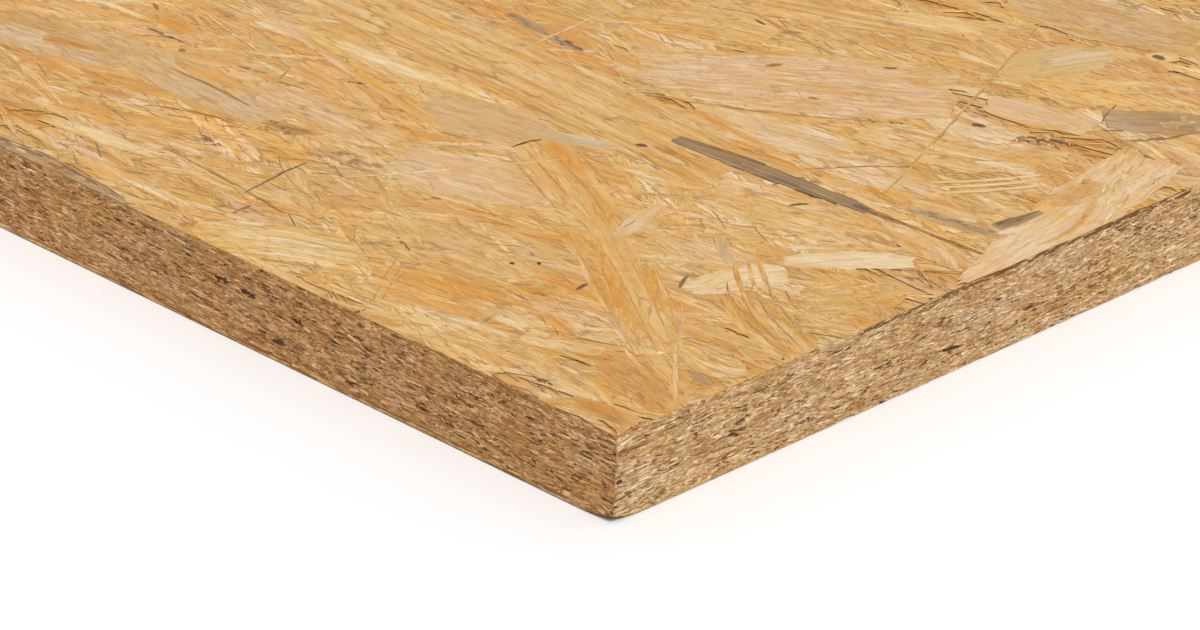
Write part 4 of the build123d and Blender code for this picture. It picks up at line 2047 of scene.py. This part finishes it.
DARK_GRAIN = (
    Laid((728, 282, 742, 316, 786, 355), (3, 5, 3), Tone.GRAIN, 5, 0.3, bits=14),
    Laid((740, 290, 757, 320, 796, 355), (2, 3.4, 2), Tone.GRAIN, 5, 0.5, bits=16),
    Laid((754, 288, 772, 318, 804, 350), (2, 3.4, 2), Tone.DULL_GREY, 5, 0.5, bits=16),
    Laid((768, 288, 785, 312, 811, 343), (3, 5, 3), Tone.GRAIN, 5, 0.3, bits=12),
)
UPPER_RIBS = (
    Laid((504, 148, 528, 176, 556, 208), (2, 3.6, 2), Tone.DEEP_ORANGE, 4, 0.4),
    Laid((523, 146, 545, 170, 571, 200), (2, 3.6, 2), Tone.DEEP_ORANGE, 4, 0.4),
    Laid((553, 154, 586, 188, 607, 219), (2, 3.6, 2), Tone.DEEP_ORANGE, 4, 0.4),
    Laid((580, 154, 610, 184, 629, 202), (1.2, 2.4, 1.2), Tone.AMBER, 4, 0.4),
)
LOWER_RIBS = (
    Laid(FIRST_RIB, (0.8, 1.6, 1.2), Tone.DEEP_ORANGE, 4, 0.6),
    Laid(SECOND_RIB, (0.8, 1.6, 1.2), Tone.DEEP_ORANGE, 4, 0.6),
    Laid(THIRD_RIB, (0.8, 1.6, 1.2), Tone.DEEP_ORANGE, 4, 0.6),
    Laid((655, 267, 667, 291, 680, 313), (0.8, 1.6, 1.2), Tone.DEEP_ORANGE, 4, 0.6),
    Laid(FIRST_RIB, (1.6, 3, 2), Tone.DEEP_ORANGE, 5, 0.3, bits=12),
    Laid(SECOND_RIB, (1.6, 3, 2), Tone.DEEP_ORANGE, 5, 0.3, bits=9),
    Laid(THIRD_RIB, (1.6, 3, 2), Tone.DEEP_ORANGE, 5, 0.3, bits=7),
    Laid((681, 302, 681, 330, 669, 355), (1, 1.6, 1), Tone.DUSKY, 4, 0.4),
)
LEFT_LINES = (
    Laid((168, 67, 214, 87, 252, 107), (0.6, 1.5, 0.8), Tone.DULL_BROWN, 5, 0.6),
    Laid((170, 68, 214, 87, 250, 106), (2.5, 4, 2.5), Tone.GRAIN, 6, 0.8, bits=8),
    Laid((147, 27, 166, 35, 188, 43), (1.5, 3, 1.5), Tone.DULL_BROWN, 5, 0.9, bits=7),
    Laid(LEFT_CRACK, (0.8, 1.6, 0.8), Tone.DULL_PALE, 5, 0.4),
    Laid(LEFT_CRACK, (1.6, 3.2, 1.6), Tone.DULL_BROWN, 6, 0.9, bits=8),
    Laid((163, 147, 220, 176, 284, 213), (1.2, 2.6, 1.2), Tone.RED_BROWN, 5, 0.7, bits=12),
    Laid((145, 105, 195, 112, 243, 126), (1.2, 2.6, 1.2), Tone.RED_BROWN, 5, 0.6, bits=9),
    Laid((343, 81, 355, 82, 368, 84), (1.2, 2.6, 1.2), Tone.DULL_BROWN, 5, 0.9, bits=4),
    Laid((277, 82, 290, 85, 304, 89), (1.2, 2.8, 1.2), Tone.UMBER, 5, 0.8, bits=5),
    Laid((278, 80, 285, 73, 291, 66), (1, 2.4, 1), Tone.RED_BROWN, 5, 0.8, bits=4),
)
MIDDLE_LINES = (
    Laid(MIDDLE_CRACK, (0.8, 1.6, 0.8), Tone.UMBER, 5, 0.9),
    Laid(MIDDLE_CRACK, (1.4, 3.2, 1.4), Tone.UMBER, 6, 0.9, bits=5),
    Laid((520, 50, 551, 36, 634, -1), (0.8, 1.3, 0.8), Tone.CREAM, 6, 0.3, line=(0.3, 0.3)),
    Laid((593, 23, 615, 23, 640, 25), (1.2, 3.2, 1.2), Tone.DULL_PALE, 5, 0.6, bits=5),
    Laid((316, 179, 450, 169, 630, 153), (0.8, 1.3, 0.8), Tone.CREAM, 5, 0.3, line=(0.4, 0.2)),
)
RIGHT_LINES = (
    Laid((1053, 10, 990, 80, 930, 146), (1, 1.8, 1.6), Tone.AMBER, 5, 0.1),
    Laid((930, 146, 908, 170, 877, 200), (1.6, 2, 1.2), Tone.AMBER, 5, 0.1),
    Laid((1040, 26, 975, 98, 900, 178), (2, 3.4, 2), Tone.DEEP_ORANGE, 6, 0.2, bits=18),
    Laid((968, 106, 950, 126, 938, 140), (2, 3.4, 2), Tone.RED_BROWN, 6, 0.4, bits=6),
    Laid((626, 89, 753, 110, 888, 122), (1.4, 3, 1.4), Tone.GRAIN, 5, 0.3, bits=16),
)
MIDDLE_SPECKS = (
    Laid((634, 145, 641, 145, 648, 147), (1, 3, 1), Tone.UMBER, 6, 0.9, tear=0.4),
    Laid((755, 19, 760, 22, 766, 25), (1, 2.2, 1), Tone.UMBER, 6, 0.9, tear=0.3),
    Laid((784, 30, 792, 32, 801, 33), (1.2, 3, 1.2), Tone.DULL_GREY, 6, 0.6, tear=0.3),
    Laid((765, 66, 774, 65, 785, 64), (1.2, 3.4, 1.2), Tone.RED_BROWN, 6, 0.5, tear=0.3),
    Laid((882, 67, 890, 68, 899, 68), (0.8, 1.8, 0.8), Tone.DULL_BROWN, 6, 0.7, tear=0.3),
    Laid((970, 124, 978, 125, 987, 127), (1, 3.4, 1), Tone.UMBER, 6, 0.9, tear=0.4),
    Laid((788, 206, 799, 204, 810, 204), (0.8, 2, 0.8), Tone.UMBER, 6, 0.9, tear=0.3),
    Laid((808, 97, 813, 98, 820, 99), (0.8, 2, 0.8), Tone.RED_BROWN, 6, 0.8, tear=0.3),
)
RIGHT_SPECKS = (
    Laid((802, 169, 855, 167, 917, 166), (1, 2.4, 1), Tone.RED_BROWN, 5, 0.7, bits=9),
    Laid((998, 171, 1008, 174, 1020, 179), (1, 2.6, 1), Tone.RED_BROWN, 5, 0.7, bits=5),
    Laid((1152, 55, 1158, 57, 1165, 60), (2, 4.6, 2), Tone.DULL_BROWN, 6, 0.9, tear=0.3),
    Laid((1117, 105, 1108, 113, 1102, 124), (2, 3, 2), Tone.DULL_BROWN, 6, 0.9, bits=7),
    Laid((1102, 130, 1112, 130, 1124, 131), (1.4, 2.6, 1.2), Tone.DULL_BROWN, 6, 0.9, bits=5),
    Laid((1124, 141, 1157, 139, 1194, 133), (1.4, 3, 1.4), Tone.DULL_BROWN, 6, 0.8, bits=9),
    Laid((1152, 184, 1158, 179, 1166, 175), (1.2, 2.6, 1.2), Tone.DULL_BROWN, 6, 0.8, bits=5),
)
LEFT_SPECKS = (
    Laid((153, 3, 156, 6, 158, 10), (1.4, 3.4, 1.4), Tone.RED_BROWN, 6, 0.8, tear=0.3),
    Laid((179, 49, 182, 50, 186, 51), (1.2, 3, 1.2), Tone.RED_BROWN, 6, 0.8, tear=0.3),
)
FRONT_SPECKS = (
    # The two darkest specks are painted shade of small holes in the top
    Laid((510, 262, 512, 263, 515, 264), (0.8, 2.2, 0.8), Tone.HOLE_SHADE, 6, 1.0, tear=0.3),
    Laid((537, 263, 539, 263, 541, 263), (0.8, 2.4, 0.8), Tone.HOLE_SHADE, 6, 1.0, tear=0.3),
    Laid((397, 237, 403, 243, 410, 250), (1.4, 3.6, 1.4), Tone.UMBER, 6, 0.7, bits=4),
    Laid((431, 196, 436, 198, 442, 199), (0.8, 2.4, 0.8), Tone.RED_BROWN, 6, 0.8, tear=0.3),
    Laid((537, 378, 543, 380, 550, 381), (0.8, 2.2, 0.8), Tone.UMBER, 6, 0.8, tear=0.3),
    Laid((348, 311, 357, 312, 366, 308), (1.2, 3.6, 1.2), Tone.UMBER, 6, 0.9, bits=5),
    Laid((234, 213, 242, 208, 252, 204), (1.4, 3.6, 1.4), Tone.DULL_BROWN, 6, 0.7, bits=4),
    Laid((479, 324, 487, 319, 497, 312), (1.6, 4.4, 1.6), Tone.DULL_GREY, 5, 0.4, bits=5),
    Laid((373, 300, 384, 278, 399, 255), (0.8, 1.4, 0.8), Tone.GRAIN, 5, 0.4, bits=5),
    Laid((382, 300, 392, 282, 403, 262), (0.8, 1.4, 0.8), Tone.GRAIN, 5, 0.4, bits=5),
    Laid((396, 280, 408, 270, 420, 262), (0.8, 1.4, 0.8), Tone.GRAIN, 5, 0.4, bits=4),
    Laid((360, 244, 376, 242, 394, 246), (2, 5, 2), Tone.DULL_GREY, 4, 0.2, bits=6),
)
RIB_BANDS = (
    Laid((585, 238, 613, 292, 646, 354), (20, 27, 16), Tone.DEEP_GOLD, 2, 0.2, 0.4, 0.5, tear=0.2),
    Laid((644, 262, 663, 302, 677, 334), (16, 18, 6), Tone.DEEP_GOLD, 2, 0.2, 0.3, 0.5, tear=0.2),
    Laid((534, 146, 562, 180, 596, 220), (10, 14, 8), Tone.GOLD, 2, 0.3, 0.2, 0.3, tear=0.2),
)
TOP_STRANDS: tuple[Laid, ...] = (
    *BROAD_STRANDS, *FLAKE_AT_END, *RIBBED_STRANDS, *CORNER_STRANDS, *CREAM_FLAKES, *WHITE_FLAKES,
    *CORNER_FLAKES, *RIGHT_FLAKES, *SMALL_FLAKES, *ORANGE_STRANDS, *ORANGE_MARKS, *TAN_STRANDS,
    *LONG_GREY_STRAND, *BACK_GREY_STRANDS, *LEFT_GREY_STRAND, *RIGHT_GREY_STRAND, *GREY_BESIDE_FLAKE,
    *DARK_CHIPS, *RED_TEARS, *DARK_GRAIN, *UPPER_RIBS, *LOWER_RIBS, *LEFT_LINES, *MIDDLE_LINES,
    *RIGHT_LINES, *MIDDLE_SPECKS, *RIGHT_SPECKS, *LEFT_SPECKS, *FRONT_SPECKS, *RIB_BANDS,
)

# Marks of the two sawn edges that the photograph shows; their dark pits and holes are painted shade
FRONT_MARKS: tuple[Laid, ...] = (
    Laid(FRONT_RIM, (3, 3.6, 3), Tone.CREAM, 4, 0.3, 0.2, 0.6),
    Laid(FRONT_RIM, (4, 6, 5), Tone.PALE_GOLD, 5, 0.3, bits=40),
    Laid(FRONT_RIM, (4, 6, 5), Tone.RED_BROWN, 5, 0.8, bits=30),
    painted_hole_shade((215, 276, 221, 279, 228, 281), (2, 5, 2)),
    torn_rim_and_shade((213, 275, 221, 279, 230, 282), (2.4, 7.8, 2.4)),
    painted_hole_shade((242, 291, 248, 293, 255, 296), (2.4, 6.4, 2.4)),
    torn_rim_and_shade((240, 290, 248, 293, 257, 297), (3, 10.4, 3)),
    pit((267, 296, 272, 297, 278, 300), (2, 5, 2)),
    painted_hole_shade((293, 319, 297, 321, 302, 326), (2, 5, 2)),
    torn_rim_and_shade((291, 317, 297, 321, 304, 328), (2.4, 7.8, 2.4)),
    painted_hole_shade((274, 340, 278, 341, 283, 343), (2, 5, 2)),
    torn_rim_and_shade((271, 339, 278, 341, 286, 345), (2.4, 7.8, 2.4)),
    pit((332, 334, 339, 337, 347, 339), (2, 5, 2)),
    pit((355, 322, 361, 325, 367, 327), (1.5, 4, 1.5)),
    pit((394, 359, 399, 361, 405, 363), (1.5, 4.5, 1.5)),
    pit((360, 379, 366, 382, 373, 385), (1.6, 5, 1.6)),
    Laid((389, 334, 396, 338, 403, 340), (1.6, 5, 1.6), Tone.UMBER, 6, 0.8, bits=3),
    Laid((50, 230, 150, 280, 262, 335), (2, 4, 2), Tone.LONG_PALE, 4, 0.0, 0.3, 0.5),
    Laid((300, 364, 320, 374, 345, 386), (3, 6, 3), Tone.RED_BROWN, 4, 0.1, 0.3, 0.5, bits=9),
    Laid((400, 337, 470, 371, 560, 416), (3, 6, 3), Tone.RED_BROWN, 4, 0.1, 0.3, 0.5, bits=26),
    pit((564, 465, 569, 466, 574, 468), (1.2, 3.4, 1.2)),
    pit((597, 438, 602, 440, 607, 442), (1.2, 3.4, 1.2)),
    pit((462, 392, 470, 395, 479, 400), (1.4, 4, 1.4)),
    pit((608, 454, 612, 455, 617, 454), (1.4, 3, 2)),
)
RIGHT_MARKS: tuple[Laid, ...] = (
    Laid((940, 351, 950, 349, 960, 345), (0.8, 3, 0.8), Tone.HOLE_SHADE, 6, 1.0, tear=0.3),
    torn_rim_and_shade((937, 352, 950, 349, 963, 344), (3, 9.1, 3)),
    Laid((617, 454, 631, 449, 648, 443), (3, 4.4, 2), Tone.RED_BROWN, 5, 0.7),
    Laid((618, 454, 631, 449, 646, 444), (2, 3, 1.4), Tone.UMBER, 6, 0.9, bits=3),
    Laid(LOW_HOLE, (1.2, 2.6, 1), Tone.HOLE_SHADE, 6, 1.0, tear=0.3),
    torn_rim_and_shade(LOW_HOLE, (2.4, 5.7, 1.9)),
    pit((733, 423, 741, 420, 750, 415), (2, 6, 2)),
    painted_hole_shade(MIDDLE_HOLE, (2, 4.4, 2)),
    torn_rim_and_shade(MIDDLE_HOLE, (1.7, 4.7, 1.7)),
    Laid((777, 411, 782, 409, 787, 406), (1.8, 5.6, 1.8), Tone.UMBER, 6, 0.9, bits=3),
    pit((860, 391, 865, 390, 871, 388), (1.8, 5, 1.8)),
    Laid((663, 463, 668, 462, 673, 461), (1.8, 4.4, 1.8), Tone.RED_BROWN, 6, 0.9, bits=5),
    pit((783, 420, 787, 419, 791, 418), (1.4, 3.6, 1.4)),
    Laid((702, 458, 718, 450, 742, 444), (1.2, 2.6, 1.2), Tone.RED_BROWN, 6, 0.9, bits=9),
    pit((830, 408, 836, 408, 842, 405), (1.4, 4, 1.4)),
    Laid((843, 409, 856, 404, 870, 397), (5, 12, 6), Tone.RED_BROWN, 4, 0.1, 0.4, 0.6, bits=12),
    Laid((840, 342, 1020, 264, 1206, 183), (3, 5, 6), Tone.UMBER, 5, 0.8, bits=70),
    Laid((1030, 276, 1038, 276, 1048, 277), (1.6, 5, 1.6), Tone.RED_BROWN, 6, 0.8, bits=7),
)


def main() -> None:
    """Build the panel's pieces, the camera and the studio."""
    logging.basicConfig(level=logging.INFO, format="%(name)s %(message)s")
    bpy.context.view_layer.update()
    bpy.context.scene.view_settings.view_transform = "Standard"
    view = PhotoView()
    view.camera()
    Studio().build()
    panel = Panel.packed()
    faces = panel.faces()
    face_wood = WoodFinish("face_strands").material()
    end_wood = sawn_finish("sawn_end", Tone.END_TAN).material()
    long_wood = sawn_finish("sawn_long_edge", Tone.LONG_TAN).material()
    top, front, right = faces["top"], faces["front_edge"], faces["right_end"]
    laid_top = LaidStrands(view, top, TOP_STRANDS)
    laid_front = LaidStrands(view, front, FRONT_MARKS)
    laid_right = LaidStrands(view, right, RIGHT_MARKS)
    pieces = BroadFace(panel, top, seed=11).build(face_wood, laid_top)
    pieces += BroadFace(panel, faces["underside"], seed=23).build(face_wood)
    front_edge = SawnEdge(panel, front, LONG_MIX, seed=31, bays=4, close_end=1)
    pieces += front_edge.build(long_wood, laid_front)
    pieces += SawnEdge(panel, faces["back_edge"], LONG_MIX, seed=37, bays=4).build(long_wood)
    right_end = SawnEdge(panel, right, END_MIX, seed=41, bays=2, close_end=-1)
    pieces += right_end.build(end_wood, laid_right)
    pieces += SawnEdge(panel, faces["left_end"], END_MIX, seed=43, bays=2).build(end_wood)
    log.info("%d pieces, %d faces", len(pieces), sum(len(p.data.polygons) for p in pieces))


if __name__ == "__main__":
    main()
